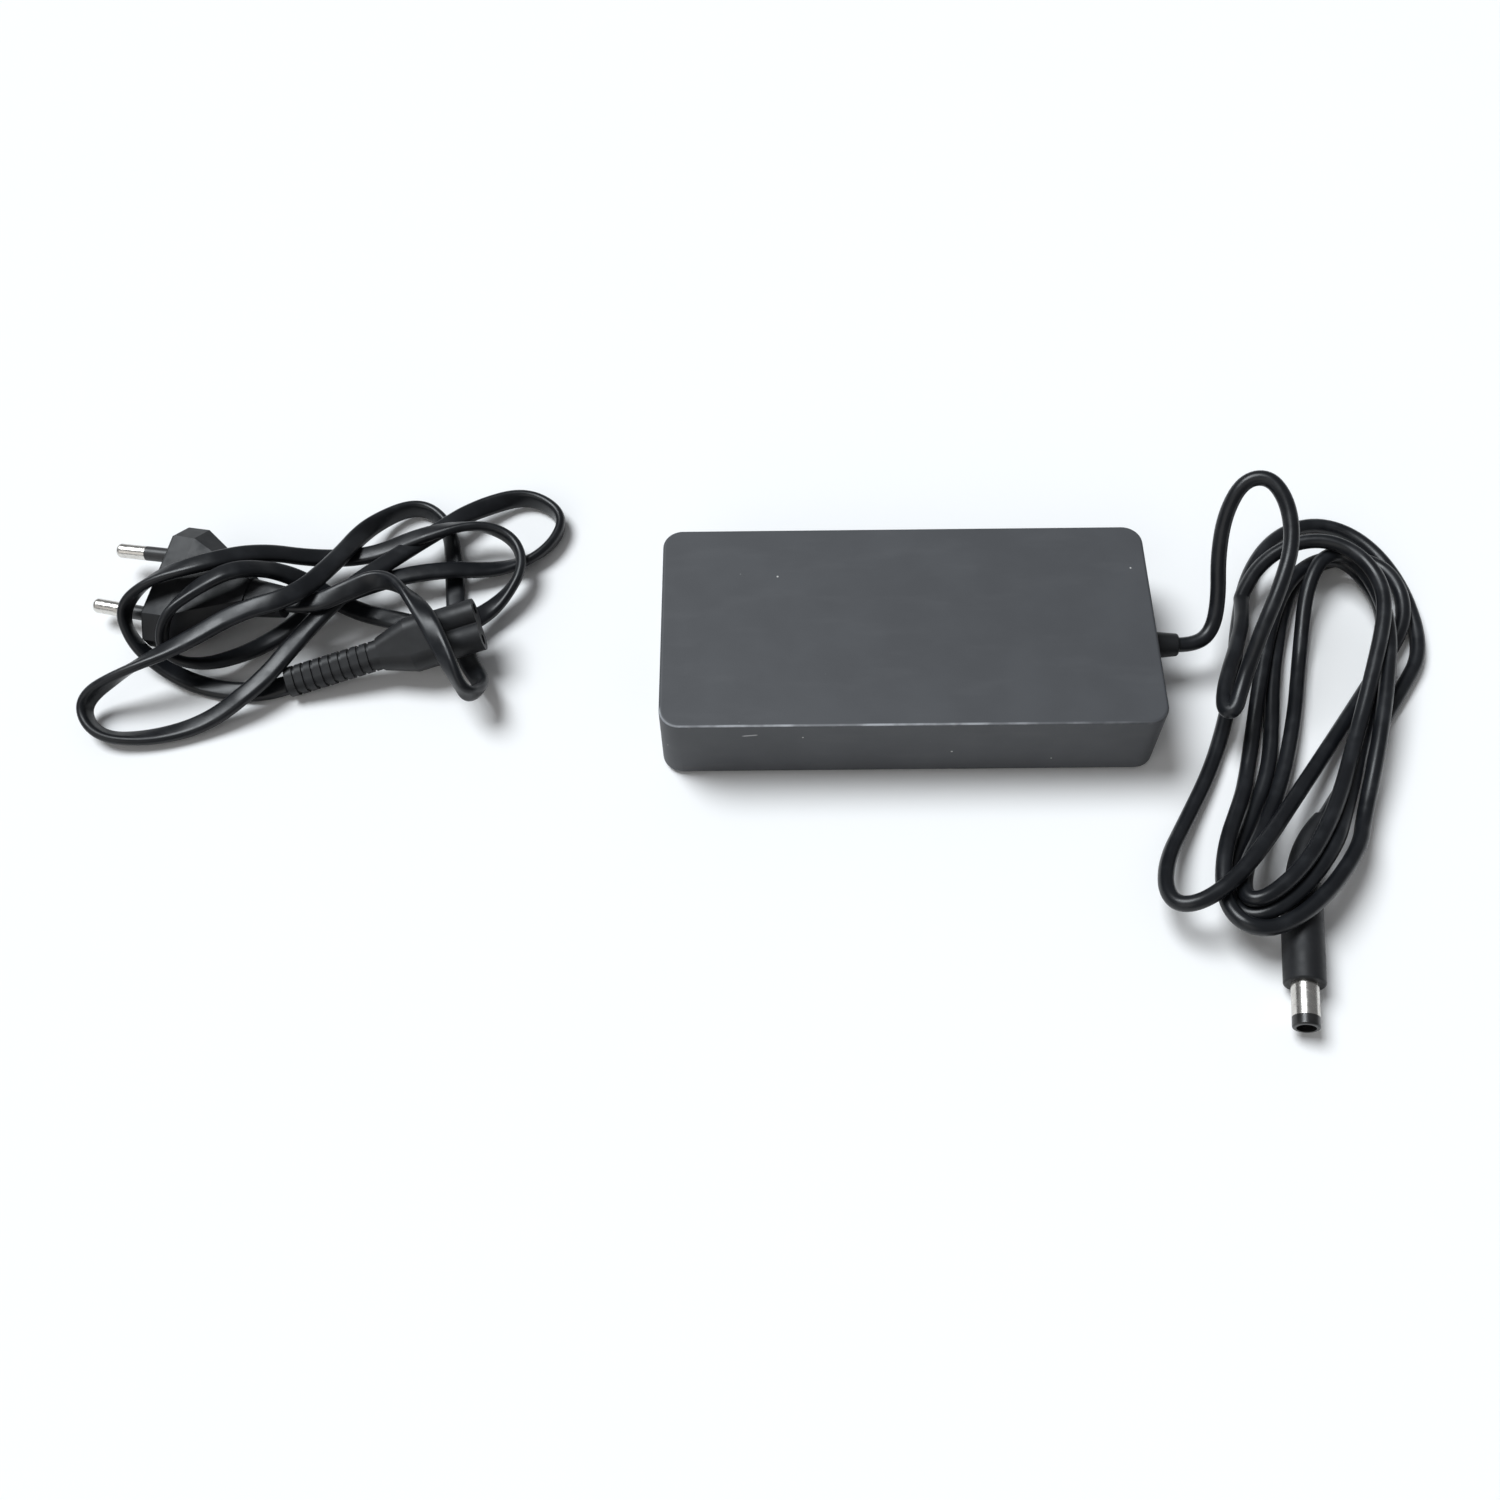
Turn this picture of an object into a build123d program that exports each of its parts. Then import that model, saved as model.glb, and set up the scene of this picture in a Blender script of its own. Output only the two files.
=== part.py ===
from build123d import *

import os
from math import atan2, cos, degrees, hypot, pi, radians, sin, tan

# Laptop power adapter: a slim brick with a captive low-voltage lead that ends in a barrel plug, and a
# separate two-core mains lead that fits the brick's figure-8 inlet.  Millimetres, +Z up.  The origin is the
# centre of the brick's footprint on the surface it stands on, +X runs along the brick to the low-voltage
# end, and +Y is across it.

# Brick housing
length = 127.0
width = 61.3
height = 23.3
corner_radius = 5.2
edge_radius = 0.8
wall = 2.0
roof = 2.0
base_thickness = 2.2
rebate = 0.9
base_gap = 0.15
foot_projection = 0.6
foot_diameter = 9.0
foot_pocket_depth = 0.8
foot_inset = 11.0
label_length = 62.0
label_width = 34.0
label_recess = 0.25
label_thickness = 0.15

# Figure-8 mains interface, shared by the inlet and the connector
pin_pitch = 8.6
contact_pin_radius = 1.2
connector_width = 14.2
connector_thickness = 8.0
connector_waist = 5.4
connector_clearance = 0.3
inlet_depth = 12.0
inlet_floor = 3.0
inlet_pin_reach = 9.0
inlet_pin_tail = 4.0
inlet_block_width = 19.5
inlet_block_height = 12.6
inlet_gap = 0.1
inlet_height = 12.0

# Circuit board and what stands on it
sheet_thickness = 0.4
board_lift = 1.6
board_thickness = 1.6
board_length = 98.0
board_width = 52.0
board_centre_x = 3.0
post_radius = 2.0
post_hole_gap = 0.3
post_inset = 4.0
seat_gap = 0.02
spreader_thickness = 0.8
spreader_flange = 7.0
spreader_gap = 0.1
bulk_capacitor_radius = 6.6
bulk_capacitor_length = 33.0
output_capacitor_radius = 4.0
output_capacitor_height = 12.0
choke_ring_radius = 6.0
choke_core_radius = 2.2
winding_thickness = 0.9
winding_gap = 0.05
core_length = 16.0
core_height = 13.4
core_plate = 3.0
core_leg = 3.4
core_post_radius = 4.4
bobbin_wall = 0.8
bobbin_gap = 0.1
winding_radius = 9.6
heat_sink_thickness = 1.5
heat_sink_height = 12.5

# Low-voltage lead
lead_diameter = 4.0
lead_height = 12.0
relief_length = 8.0
relief_end_diameter = 5.9
relief_root_diameter = 7.4
relief_grip_gap = 0.1
relief_flange_diameter = 10.0
relief_flange_thickness = 1.5
bundle_height = 12.5
bundle_top_centre = (117.0, 20.5)
bundle_top_radius = 24.5
bundle_foot_centre = (82.0, -60.0)
bundle_foot_radius = 17.5
bundle_hole_top_centre = (117.0, 14.0)
bundle_hole_top_radius = 8.0
bundle_hole_foot_centre = (104.0, -18.0)
bundle_hole_foot_radius = 2.6
bundle_edge_radius = 2.0

# Barrel plug on the low-voltage lead
plug_start = (93.8, -66.5)
plug_heading = -98.2
plug_axis_height = 5.4
plug_body_diameter = 10.0
plug_nose_diameter = 9.9
plug_body_length = 26.5
plug_relief_length = 20.0
plug_relief_bend = 36.0
relief_sections = 5
relief_wall = 0.6
plug_relief_diameter = 7.6
barrel_radius = 3.25
barrel_bore_radius = 2.2
barrel_length = 8.3
tip_ring_length = 2.6
tip_ring_bore_radius = 2.3
centre_pin_radius = 0.35
centre_pin_recess = 1.5
plug_slot_gap = 0.4

# Mains connector, in its own frame: the face at x = 0, the lead leaving towards -x
connector_place = (-112.6, 8.2, 13.0)
connector_turn = (13.1, 9.9, 25.0)
nose_length = 12.0
grip_length = 15.5
grip_width = 14.8
grip_thickness = 9.2
neck_width = 8.0
neck_thickness = 6.4
connector_relief_length = 26.0
relief_rib_count = 9
relief_rib_gap = 0.9
relief_rib_depth = 0.5
socket_mouth_radius = 1.5
socket_radius = 1.25
socket_wall = 0.35
socket_mouth_depth = 1.2
socket_length = 10.0

# Mains plug, in its own frame: the pin face at x = 0, the lead leaving towards +x
mains_plug_place = (-200.0, 25.0, 8.6)
mains_plug_turn = (-14.0, 6.0, 8.0)
plug_face_width = 35.3
plug_face_flat = 24.0
plug_face_edge = 4.0
plug_face_thickness = 13.7
plug_straight = 7.0
plug_taper = 19.0
plug_neck_width = 11.0
plug_neck_thickness = 9.0
plug_tail_width = 8.2
plug_tail_thickness = 6.4
plug_tail_length = 10.0
mains_pin_radius = 2.0
mains_pin_length = 19.0
mains_pin_spread = 18.6
mains_pin_tip_spread = 17.5
sleeve_length = 10.0
sleeve_thickness = 0.3
pin_root = 8.0

# Flat two-core mains lead, laid here as the round tube of the same section area
flat_width = 5.4
flat_thickness = 3.2

# The low-voltage lead's free stretch, from its strain relief to the bundle
arch_route = [
    (71.5, 0.0, 12.0),
    (76.5, 0.0, 12.0),
    (80.8, 3.4, 13.8),
    (82.2, 10.0, 18.5),
    (81.4, 18.0, 26.5),
    (82.4, 25.5, 34.5),
    (86.6, 31.5, 40.5),
    (92.8, 31.0, 42.5),
    (96.8, 24.0, 40.5),
    (97.4, 14.0, 36.5),
    (93.8, 4.2, 32.0),
    (89.4, -4.6, 26.5),
    (86.4, -11.5, 20.0),
    (84.6, -17.0, 11.5),
]

# The mains lead from the connector's relief to the plug's tail
mains_route = [
    (-164.02, -3.77, 3.78),
    (-171.03, -5.4, 2.53),
    (-183.9, -4.6, 2.6),
    (-196.6, 0.6, 3.0),
    (-206.5, 7.0, 6.0),
    (-209.8, 14.5, 12.5),
    (-200.8, 20.0, 18.8),
    (-186.5, 22.8, 21.8),
    (-173.6, 30.4, 16.8),
    (-161.0, 34.9, 7.0),
    (-145.9, 36.2, 6.0),
    (-130.7, 40.5, 10.8),
    (-116.5, 44.5, 10.0),
    (-106.0, 40.9, 7.6),
    (-102.9, 30.5, 6.8),
    (-109.9, 20.1, 4.6),
    (-121.7, 9.9, 6.2),
    (-136.0, 15.1, 5.0),
    (-152.3, 21.7, 3.0),
    (-166.0, 27.2, 11.2),
    (-176.6, 21.2, 22.2),
    (-187.0, 15.6, 20.6),
    (-195.8, 8.2, 17.6),
    (-196.6, 0.8, 9.0),
    (-183.8, -0.3, 6.8),
    (-171.3, 9.9, 3.4),
    (-157.2, 20.0, 6.8),
    (-142.2, 26.6, 7.6),
    (-127.6, 30.7, 7.0),
    (-110.3, 33.4, 3.6),
    (-97.4, 39.9, 3.0),
    (-92.8, 51.9, 3.0),
    (-103.9, 60.3, 3.2),
    (-117.6, 54.4, 5.0),
    (-128.2, 44.3, 6.9),
    (-138.6, 33.0, 9.6),
    (-150.4, 20.8, 11.4),
    (-161.1, 7.0, 9.5),
    (-169.9, -5.9, 7.4),
    (-183.2, -15.1, 3.6),
    (-198.4, -19.8, 3.0),
    (-212.8, -19.6, 3.0),
    (-218.4, -10.0, 5.0),
    (-204.6, -5.0, 12.5),
    (-189.2, 1.4, 15.5),
    (-175.0, 9.6, 18.4),
    (-160.9, 13.8, 18.6),
    (-153.7, 29.7, 12.6),
    (-148.2, 48.4, 5.0),
    (-135.3, 57.6, 3.0),
    (-125.9, 49.4, 2.8),
    (-123.3, 33.6, 2.8),
    (-121.6, 18.3, 2.8),
    (-117.7, 4.4, 2.8),
    (-110.6, -7.5, 6.0),
    (-114.4, -14.6, 13.0),
    (-119.3, -5.6, 18.4),
    (-127.2, 9.6, 20.6),
    (-138.2, 21.8, 17.0),
    (-149.1, 17.6, 15.4),
    (-158.02, 14.53, 13.14),
    (-165.26, 16.34, 12.36),
]

# Derived sizes
base_top = foot_projection + base_thickness
roof_underside = height - roof
cavity_length = length - 2 * wall
cavity_width = width - 2 * wall
board_bottom = base_top + board_lift
board_top = board_bottom + board_thickness
connector_lobe_radius = connector_thickness / 2
connector_lobe_offset = connector_width / 2 - connector_lobe_radius


def rounded_block(size_x, size_y, size_z, radius, low_z):
    """A box with rounded upright corners, centred on the Z axis and standing on low_z."""
    return Pos(0, 0, low_z) * extrude(RectangleRounded(size_x, size_y, radius), amount=size_z)


def lay(place, turn):
    """The location of a piece in its own frame: heading, climb and roll in degrees."""
    heading, climb, roll = turn
    return Pos(*place) * Rot(0, 0, heading) * Rot(0, -climb, 0) * Rot(roll, 0, 0)


def rod_x(radius, start_x, end_x, y=0.0, z=0.0):
    """A round rod along X between two stations."""
    return Pos(start_x, y, z) * Rot(0, 90, 0) * Cylinder(
        radius, end_x - start_x, align=(Align.CENTER, Align.CENTER, Align.MIN)
    )


def standing_box(size_x, size_y, size_z, x, y, low_z):
    """A box standing on low_z."""
    return Pos(x, y, low_z) * Box(size_x, size_y, size_z, align=(Align.CENTER, Align.CENTER, Align.MIN))


def standing_rod(radius, tall, x, y, low_z):
    """An upright round rod standing on low_z."""
    return Pos(x, y, low_z) * Cylinder(radius, tall, align=(Align.CENTER, Align.CENTER, Align.MIN))


def figure_eight(grow=0.0):
    """The mains interface's outline: two lobes joined by a narrower waist."""
    outline = Rectangle(2 * connector_lobe_offset, connector_waist + 2 * grow)
    for side in (-1, 1):
        outline += Pos(side * connector_lobe_offset, 0) * Circle(connector_lobe_radius + grow)
    return outline


def across_x(sketch, x):
    """Stand a flat outline up across the X axis at x, with its own x along Y."""
    return Plane(origin=(x, 0, 0), x_dir=(0, 1, 0), z_dir=(1, 0, 0)) * sketch


# Brick housing ------------------------------------------------------------------------------------


def foot_places():
    """The four foot centres."""
    return [
        (side_x * (length / 2 - foot_inset), side_y * (width / 2 - foot_inset))
        for side_x in (-1, 1)
        for side_y in (-1, 1)
    ]


def housing_shell():
    """Five-sided shell with the inlet window in one end and the lead's hole in the other."""
    tall = height - foot_projection
    body = rounded_block(length, width, tall, corner_radius, foot_projection)
    rims = body.edges().filter_by(lambda edge: edge.center().Z > height - 0.01)
    rims += body.edges().filter_by(lambda edge: edge.center().Z < foot_projection + 0.01)
    body = fillet(rims, edge_radius)
    body -= rounded_block(
        cavity_length, cavity_width, roof_underside - foot_projection, corner_radius - wall, foot_projection
    )
    body -= rounded_block(
        cavity_length + 2 * rebate,
        cavity_width + 2 * rebate,
        base_thickness,
        corner_radius - wall + rebate,
        foot_projection,
    )
    window = Box(3 * wall, inlet_block_width + 2 * inlet_gap, inlet_block_height + 2 * inlet_gap)
    body -= Pos(-length / 2, 0, inlet_height) * window
    body -= rod_x(relief_root_diameter / 2 + relief_grip_gap, length / 2 - 2 * wall, length / 2 + wall,
                  z=lead_height)
    return body


def base_plate():
    """Flush bottom cover with foot pockets, the label's recess and four board posts."""
    span_x = cavity_length + 2 * rebate - 2 * base_gap
    span_y = cavity_width + 2 * rebate - 2 * base_gap
    plate = rounded_block(
        span_x, span_y, base_thickness, corner_radius - wall + rebate - base_gap, foot_projection
    )
    for x, y in foot_places():
        plate -= standing_rod(foot_diameter / 2, foot_pocket_depth, x, y, foot_projection)
    plate -= Pos(0, 0, foot_projection) * extrude(
        RectangleRounded(label_length, label_width, 2.0), amount=label_recess
    )
    for x, y in post_places():
        plate += standing_rod(post_radius, board_lift - seat_gap, x, y, base_top)
    return plate


def rubber_feet():
    """Four round feet seated in the base's pockets."""
    return [
        standing_rod(foot_diameter / 2, foot_pocket_depth + foot_projection, x, y, 0)
        for x, y in foot_places()
    ]


def rating_label():
    """Blank label in its recess."""
    low = foot_projection + label_recess - label_thickness
    return Pos(0, 0, low) * extrude(
        RectangleRounded(label_length - 0.6, label_width - 0.6, 1.7), amount=label_thickness
    )


# Mains inlet --------------------------------------------------------------------------------------


def inlet_block():
    """Insulating block with the figure-8 recess, flush with the end wall."""
    deep = inlet_depth + inlet_floor
    block = Pos(-length / 2 + deep / 2, 0, inlet_height) * Box(deep, inlet_block_width, inlet_block_height)
    recess = extrude(across_x(figure_eight(connector_clearance), -length / 2), amount=inlet_depth)
    block -= Pos(0, 0, inlet_height) * recess
    for y in (-pin_pitch / 2, pin_pitch / 2):
        block -= rod_x(contact_pin_radius, -length / 2 + inlet_depth, -length / 2 + deep, y, inlet_height)
    return block


def inlet_pins():
    """Two round contact pins fixed in the block's floor."""
    start = -length / 2 + inlet_depth - inlet_pin_reach
    end = -length / 2 + inlet_depth + inlet_floor + inlet_pin_tail
    pins = []
    for y in (-pin_pitch / 2, pin_pitch / 2):
        pin = rod_x(contact_pin_radius, start, end, y, inlet_height)
        tip = pin.edges().sort_by(Axis.X)[0]
        pins.append(fillet(tip, contact_pin_radius * 0.6))
    return pins


def inlet_wires():
    """Two short wires from the pins' tails down to the board."""
    end = -length / 2 + inlet_depth + inlet_floor + inlet_pin_tail
    wires = []
    for y in (-pin_pitch / 2, pin_pitch / 2):
        path = FilletPolyline(
            (end, y, inlet_height), (end + 3.0, y, inlet_height), (end + 3.0, y, board_top), radius=1.6
        )
        start = Plane(origin=(end, y, inlet_height), z_dir=(1, 0, 0))
        wires.append(sweep(start * Circle(0.7), path=path))
    return wires


# Circuit board ------------------------------------------------------------------------------------


def post_places():
    """Centres of the four posts that carry the board."""
    return [
        (board_centre_x + side_x * (board_length / 2 - post_inset), side_y * (board_width / 2 - post_inset))
        for side_x in (-1, 1)
        for side_y in (-1, 1)
    ]


def insulation_sheet():
    """Thin fibre sheet on the base, pierced for the posts."""
    sheet = Pos(board_centre_x, 0, base_top) * extrude(
        Rectangle(board_length, board_width), amount=sheet_thickness
    )
    for x, y in post_places():
        sheet -= standing_rod(post_radius + post_hole_gap, sheet_thickness, x, y, base_top)
    return sheet


def circuit_board():
    """The board itself."""
    return Pos(board_centre_x, 0, board_bottom) * extrude(
        RectangleRounded(board_length, board_width, 1.0), amount=board_thickness
    )


def heat_spreader():
    """Aluminium tray under the roof with a flange down each long side."""
    span = cavity_length - 2 * inlet_depth - 2 * inlet_floor
    across = cavity_width - 2 * spreader_gap
    top = roof_underside - spreader_gap
    tray = Pos(board_centre_x, 0, top - spreader_thickness) * extrude(
        Rectangle(span, across), amount=spreader_thickness
    )
    for side in (-1, 1):
        y = side * (across / 2 - spreader_thickness / 2)
        tray += standing_box(span, spreader_thickness, spreader_flange, board_centre_x, y,
                             top - spreader_flange)
    return tray


def fuse():
    """Ceramic fuse body with its two end caps as one solid, lying across the board."""
    lifted = board_top + 2.6
    return Pos(-41.0, 16.0, lifted) * Rot(90, 0, 0) * Cylinder(2.5, 11.0)


def line_filter_capacitor():
    """Box film capacitor across the mains."""
    body = standing_box(17.0, 8.5, 12.0, -28.0, 19.5, board_top + seat_gap)
    return fillet(body.edges().filter_by(Axis.Z), 0.8)


def safety_capacitors():
    """Two coated disc capacitors standing on edge."""
    discs = []
    for x, y in ((-40.0, -18.0), (8.5, -15.5)):
        disc = Pos(x, y, board_top + 4.6) * Rot(0, 90, 0) * Cylinder(4.5, 3.4)
        discs.append(fillet(disc.edges().filter_by(GeomType.CIRCLE), 1.2))
    return discs


def choke_core(x, y):
    """Ferrite ring lying flat above the board."""
    centre = board_top + choke_core_radius + winding_gap + winding_thickness + seat_gap
    return Pos(x, y, centre) * Torus(choke_ring_radius, choke_core_radius)


def choke_winding(x, y):
    """Two copper windings, each a tube round a third of the ring."""
    centre = board_top + choke_core_radius + winding_gap + winding_thickness + seat_gap
    windings = []
    for start in (30, 210):
        ring = Circle(choke_core_radius + winding_gap + winding_thickness) - Circle(
            choke_core_radius + winding_gap
        )
        section = Plane.XZ * Pos(choke_ring_radius, 0) * ring
        windings.append(Pos(x, y, centre) * Rot(0, 0, start) * revolve(section, Axis.Z, 120))
    return windings


def bridge_rectifier():
    """Flat four-lead rectifier against the primary heat sink."""
    body = standing_box(15.0, 3.6, 10.0, -10.5, 21.6, board_top + 1.5)
    return chamfer(body.edges().filter_by(Axis.Y).sort_by(Axis.Z)[-1], 2.0)


def bulk_capacitor():
    """Large electrolytic can lying along the board."""
    can = rod_x(bulk_capacitor_radius, -31.0, -31.0 + bulk_capacitor_length, -15.0,
                board_top + bulk_capacitor_radius + seat_gap)
    return fillet(can.edges().filter_by(GeomType.CIRCLE), 0.9)


def heat_sink(x, y, long):
    """Upright aluminium plate with a foot folded onto the board."""
    plate = standing_box(long, heat_sink_thickness, heat_sink_height, x, y, board_top + seat_gap)
    inward = -1 if y > 0 else 1
    foot = standing_box(6.0, 3.0, heat_sink_thickness, x + long / 2 - 3.0,
                        y + inward * (heat_sink_thickness / 2 + 1.5), board_top + seat_gap)
    return plate + foot


def power_package(x, y, facing):
    """Moulded power device with its tab against a heat sink on the facing side."""
    back = y - facing * (heat_sink_thickness / 2 + seat_gap)
    tab = standing_box(10.0, 1.3, 11.5, x, back - facing * 0.65, board_top + 0.9)
    body = standing_box(10.0, 3.0, 8.0, x, back - facing * (1.3 + 1.5), board_top + 0.9)
    return tab + body


def transformer_core():
    """Low core: two plates, two outer legs and a round centre post."""
    inner = 2 * (winding_radius + bobbin_gap)
    across = inner + 2 * core_leg
    core = standing_box(core_length, across, core_height, 21.0, -1.5, board_top + seat_gap)
    window = core_height - 2 * core_plate
    core -= standing_box(core_length, inner, window, 21.0, -1.5, board_top + seat_gap + core_plate)
    return core + standing_rod(core_post_radius, window, 21.0, -1.5, board_top + seat_gap + core_plate)


def transformer_bobbin():
    """Spool round the centre post with a flange at each end."""
    low = board_top + seat_gap + core_plate + bobbin_gap / 2
    tall = core_height - 2 * core_plate - bobbin_gap
    spool = standing_rod(winding_radius, tall, 21.0, -1.5, low)
    spool -= standing_rod(core_post_radius + bobbin_gap, tall, 21.0, -1.5, low)
    ring = standing_rod(winding_radius, tall - 2 * bobbin_wall, 21.0, -1.5, low + bobbin_wall)
    ring -= standing_rod(core_post_radius + bobbin_gap + bobbin_wall, tall, 21.0, -1.5, low)
    return spool - ring


def transformer_winding():
    """Taped copper winding between the bobbin's flanges."""
    low = board_top + seat_gap + core_plate + bobbin_gap / 2 + bobbin_wall
    tall = core_height - 2 * core_plate - bobbin_gap - 2 * bobbin_wall
    inner = core_post_radius + bobbin_gap + bobbin_wall
    coil = standing_rod(winding_radius - 0.3, tall, 21.0, -1.5, low)
    return coil - standing_rod(inner, tall, 21.0, -1.5, low)


def output_capacitors():
    """Three upright output cans in a row."""
    cans = []
    for y in (-13.0, -4.0, 5.0):
        can = standing_rod(output_capacitor_radius, output_capacitor_height, 35.5, y, board_top + seat_gap)
        cans.append(fillet(can.edges().filter_by(GeomType.CIRCLE), 0.6))
    return cans


def optocoupler():
    """Small isolating chip across the primary and secondary sides."""
    return standing_box(4.6, 6.5, 3.4, 24.0, 20.5, board_top + seat_gap)


def controller_chip():
    """Surface-mounted controller."""
    return standing_box(5.0, 4.0, 1.6, 4.0, 8.0, board_top + seat_gap)


def output_wires():
    """Two insulated wires from the board to the lead's flange."""
    inner_face = length / 2 - wall - relief_flange_thickness
    wires = []
    for y in (-1.5, 1.5):
        path = FilletPolyline(
            (49.5, y, board_top), (49.5, y, lead_height), (inner_face, y, lead_height), radius=2.5
        )
        wires.append(sweep(Plane(origin=(49.5, y, board_top)) * Circle(0.9), path=path))
    return wires


# Low-voltage lead ---------------------------------------------------------------------------------


def lead_relief():
    """Tapered strain relief through the end wall with a flange inside."""
    wall_start = length / 2 - wall
    taper = loft(
        [
            across_x(Pos(0, lead_height) * Circle(relief_root_diameter / 2), length / 2),
            across_x(Pos(0, lead_height) * Circle(relief_end_diameter / 2), length / 2 + relief_length),
        ]
    )
    taper = fillet(taper.edges().sort_by(Axis.X)[-1], 0.6)
    neck = rod_x(relief_root_diameter / 2, wall_start, length / 2, z=lead_height)
    flange = rod_x(relief_flange_diameter / 2, wall_start - relief_flange_thickness, wall_start,
                   z=lead_height)
    return taper + neck + flange


def corner_radii(route):
    """The arc radius at each corner of a route: 0.45 of the shorter run over the tangent of half the turn."""
    radii = []
    for before, corner, after in zip(route, route[1:], route[2:]):
        run_in = Vector(corner) - Vector(before)
        run_out = Vector(after) - Vector(corner)
        half_turn = radians(run_in.get_angle(run_out)) / 2
        radii.append(0.45 * min(run_in.length, run_out.length) / tan(half_turn))
    return radii


def report_route(name, route):
    """Print a route's corner radii, its longest run and its sharpest turn."""
    radii = corner_radii(route)
    runs = [(Vector(b) - Vector(a)).length for a, b in zip(route, route[1:])]
    turns = [
        (Vector(b) - Vector(a)).get_angle(Vector(c) - Vector(b)) for a, b, c in zip(route, route[1:], route[2:])
    ]
    print(name, "radii", [round(radius, 1) for radius in radii])
    print(name, "longest run", round(max(runs), 1), "sharpest turn", round(max(turns)))


def tube_path(route):
    """Straight runs joined by tangent arcs."""
    return FilletPolyline(*route, radius=corner_radii(route))


def round_tube(name, route, diameter):
    """A round tube along a route, with its volume compared with its section times its length."""
    path = tube_path(route)
    start = Plane(origin=route[0], z_dir=Vector(route[1]) - Vector(route[0]))
    tube = sweep(start * Circle(diameter / 2), path=path)
    expected = pi * diameter**2 / 4 * path.length
    print(name, "length", round(path.length, 1), "volume over section x length", round(tube.volume / expected, 4))
    return tube


def tapered_slot(centre_a, radius_a, centre_b, radius_b):
    """Outline of two circles of different sizes joined by their outer tangents."""
    apart = hypot(centre_b[0] - centre_a[0], centre_b[1] - centre_a[1])
    bearing = atan2(centre_b[1] - centre_a[1], centre_b[0] - centre_a[0])
    lean = (radius_a - radius_b) / apart
    outline = Pos(*centre_a) * Circle(radius_a) + Pos(*centre_b) * Circle(radius_b)
    rise = (1 - lean**2) ** 0.5
    corners = []
    for centre, radius, side in (
        (centre_a, radius_a, 1),
        (centre_b, radius_b, 1),
        (centre_b, radius_b, -1),
        (centre_a, radius_a, -1),
    ):
        along = radius * lean
        off = side * radius * rise
        corners.append(
            (
                centre[0] + along * cos(bearing) - off * sin(bearing),
                centre[1] + along * sin(bearing) + off * cos(bearing),
            )
        )
    return outline + make_face(Polyline(*corners, close=True))


def plug_frame():
    """The barrel plug's frame: its body starts at x = 0 and it points along +x."""
    return Pos(plug_start[0], plug_start[1], plug_axis_height) * Rot(0, 0, plug_heading)


def lead_bundle():
    """Outer shape of the loosely coiled turns, open in the middle, with the plug's slot cut in its foot."""
    outline = tapered_slot(bundle_top_centre, bundle_top_radius, bundle_foot_centre, bundle_foot_radius)
    outline -= tapered_slot(
        bundle_hole_top_centre, bundle_hole_top_radius, bundle_hole_foot_centre, bundle_hole_foot_radius
    )
    bundle = extrude(outline, amount=bundle_height)
    upper = bundle.edges().filter_by(lambda edge: edge.center().Z > bundle_height - 0.01)
    bundle = fillet(upper, bundle_edge_radius)
    slot_width = plug_body_diameter + 2 * plug_slot_gap
    slot_length = plug_relief_length + plug_body_length + 20.0
    slot = Pos(-plug_relief_length, 0, 0) * Box(
        slot_length, slot_width, 40.0, align=(Align.MIN, Align.CENTER, Align.CENTER)
    )
    bay = Pos(-plug_relief_length - lead_diameter, -slot_width / 2, -slot_width / 2) * Box(
        plug_relief_length + lead_diameter, slot_width + plug_relief_diameter, 40.0, align=Align.MIN
    )
    return bundle - plug_frame() * (slot + bay)


def barrel_plug_relief():
    """Tapered sleeve from the lead to the plug's body, bent the way the lead leaves."""
    bend = radians(plug_relief_bend)
    bend_radius = plug_relief_length / bend
    thin = lead_diameter / 2 + relief_wall
    rings = []
    for step in range(relief_sections + 1):
        share = step / relief_sections
        angle = share * bend
        centre = (-bend_radius * sin(angle), bend_radius * (1 - cos(angle)), 0)
        plane = Plane(origin=centre, x_dir=(sin(angle), cos(angle), 0), z_dir=(-cos(angle), sin(angle), 0))
        rings.append(plane * Circle(plug_relief_diameter / 2 * (1 - share) + thin * share))
    return plug_frame() * loft(rings)


def barrel_plug_body():
    """Moulded grip with a softly rounded back and a slightly smaller nose."""
    body = loft(
        [
            across_x(Circle(plug_body_diameter / 2), 0),
            across_x(Circle(plug_body_diameter / 2), plug_body_length * 0.6),
            across_x(Circle(plug_nose_diameter / 2), plug_body_length),
        ],
        ruled=True,
    )
    body = fillet(body.edges().sort_by(Axis.X)[0], 1.1)
    body = fillet(body.edges().sort_by(Axis.X)[-1], 0.5)
    return plug_frame() * body


def barrel_plug_barrel():
    """Hollow outer contact."""
    start = plug_body_length
    barrel = rod_x(barrel_radius, start, start + barrel_length)
    return plug_frame() * (barrel - rod_x(barrel_bore_radius, start, start + barrel_length))


def barrel_plug_tip_ring():
    """Black insulating ring at the barrel's mouth."""
    start = plug_body_length + barrel_length
    ring = rod_x(barrel_radius, start, start + tip_ring_length)
    ring = fillet(ring.edges().sort_by(Axis.X)[-1], 0.5)
    return plug_frame() * (ring - rod_x(tip_ring_bore_radius, start, start + tip_ring_length))


def barrel_plug_centre_pin():
    """Thin signal pin inside the barrel."""
    end = plug_body_length + barrel_length + tip_ring_length - centre_pin_recess
    return plug_frame() * rod_x(centre_pin_radius, plug_body_length, end)


# Mains connector ----------------------------------------------------------------------------------


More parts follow.
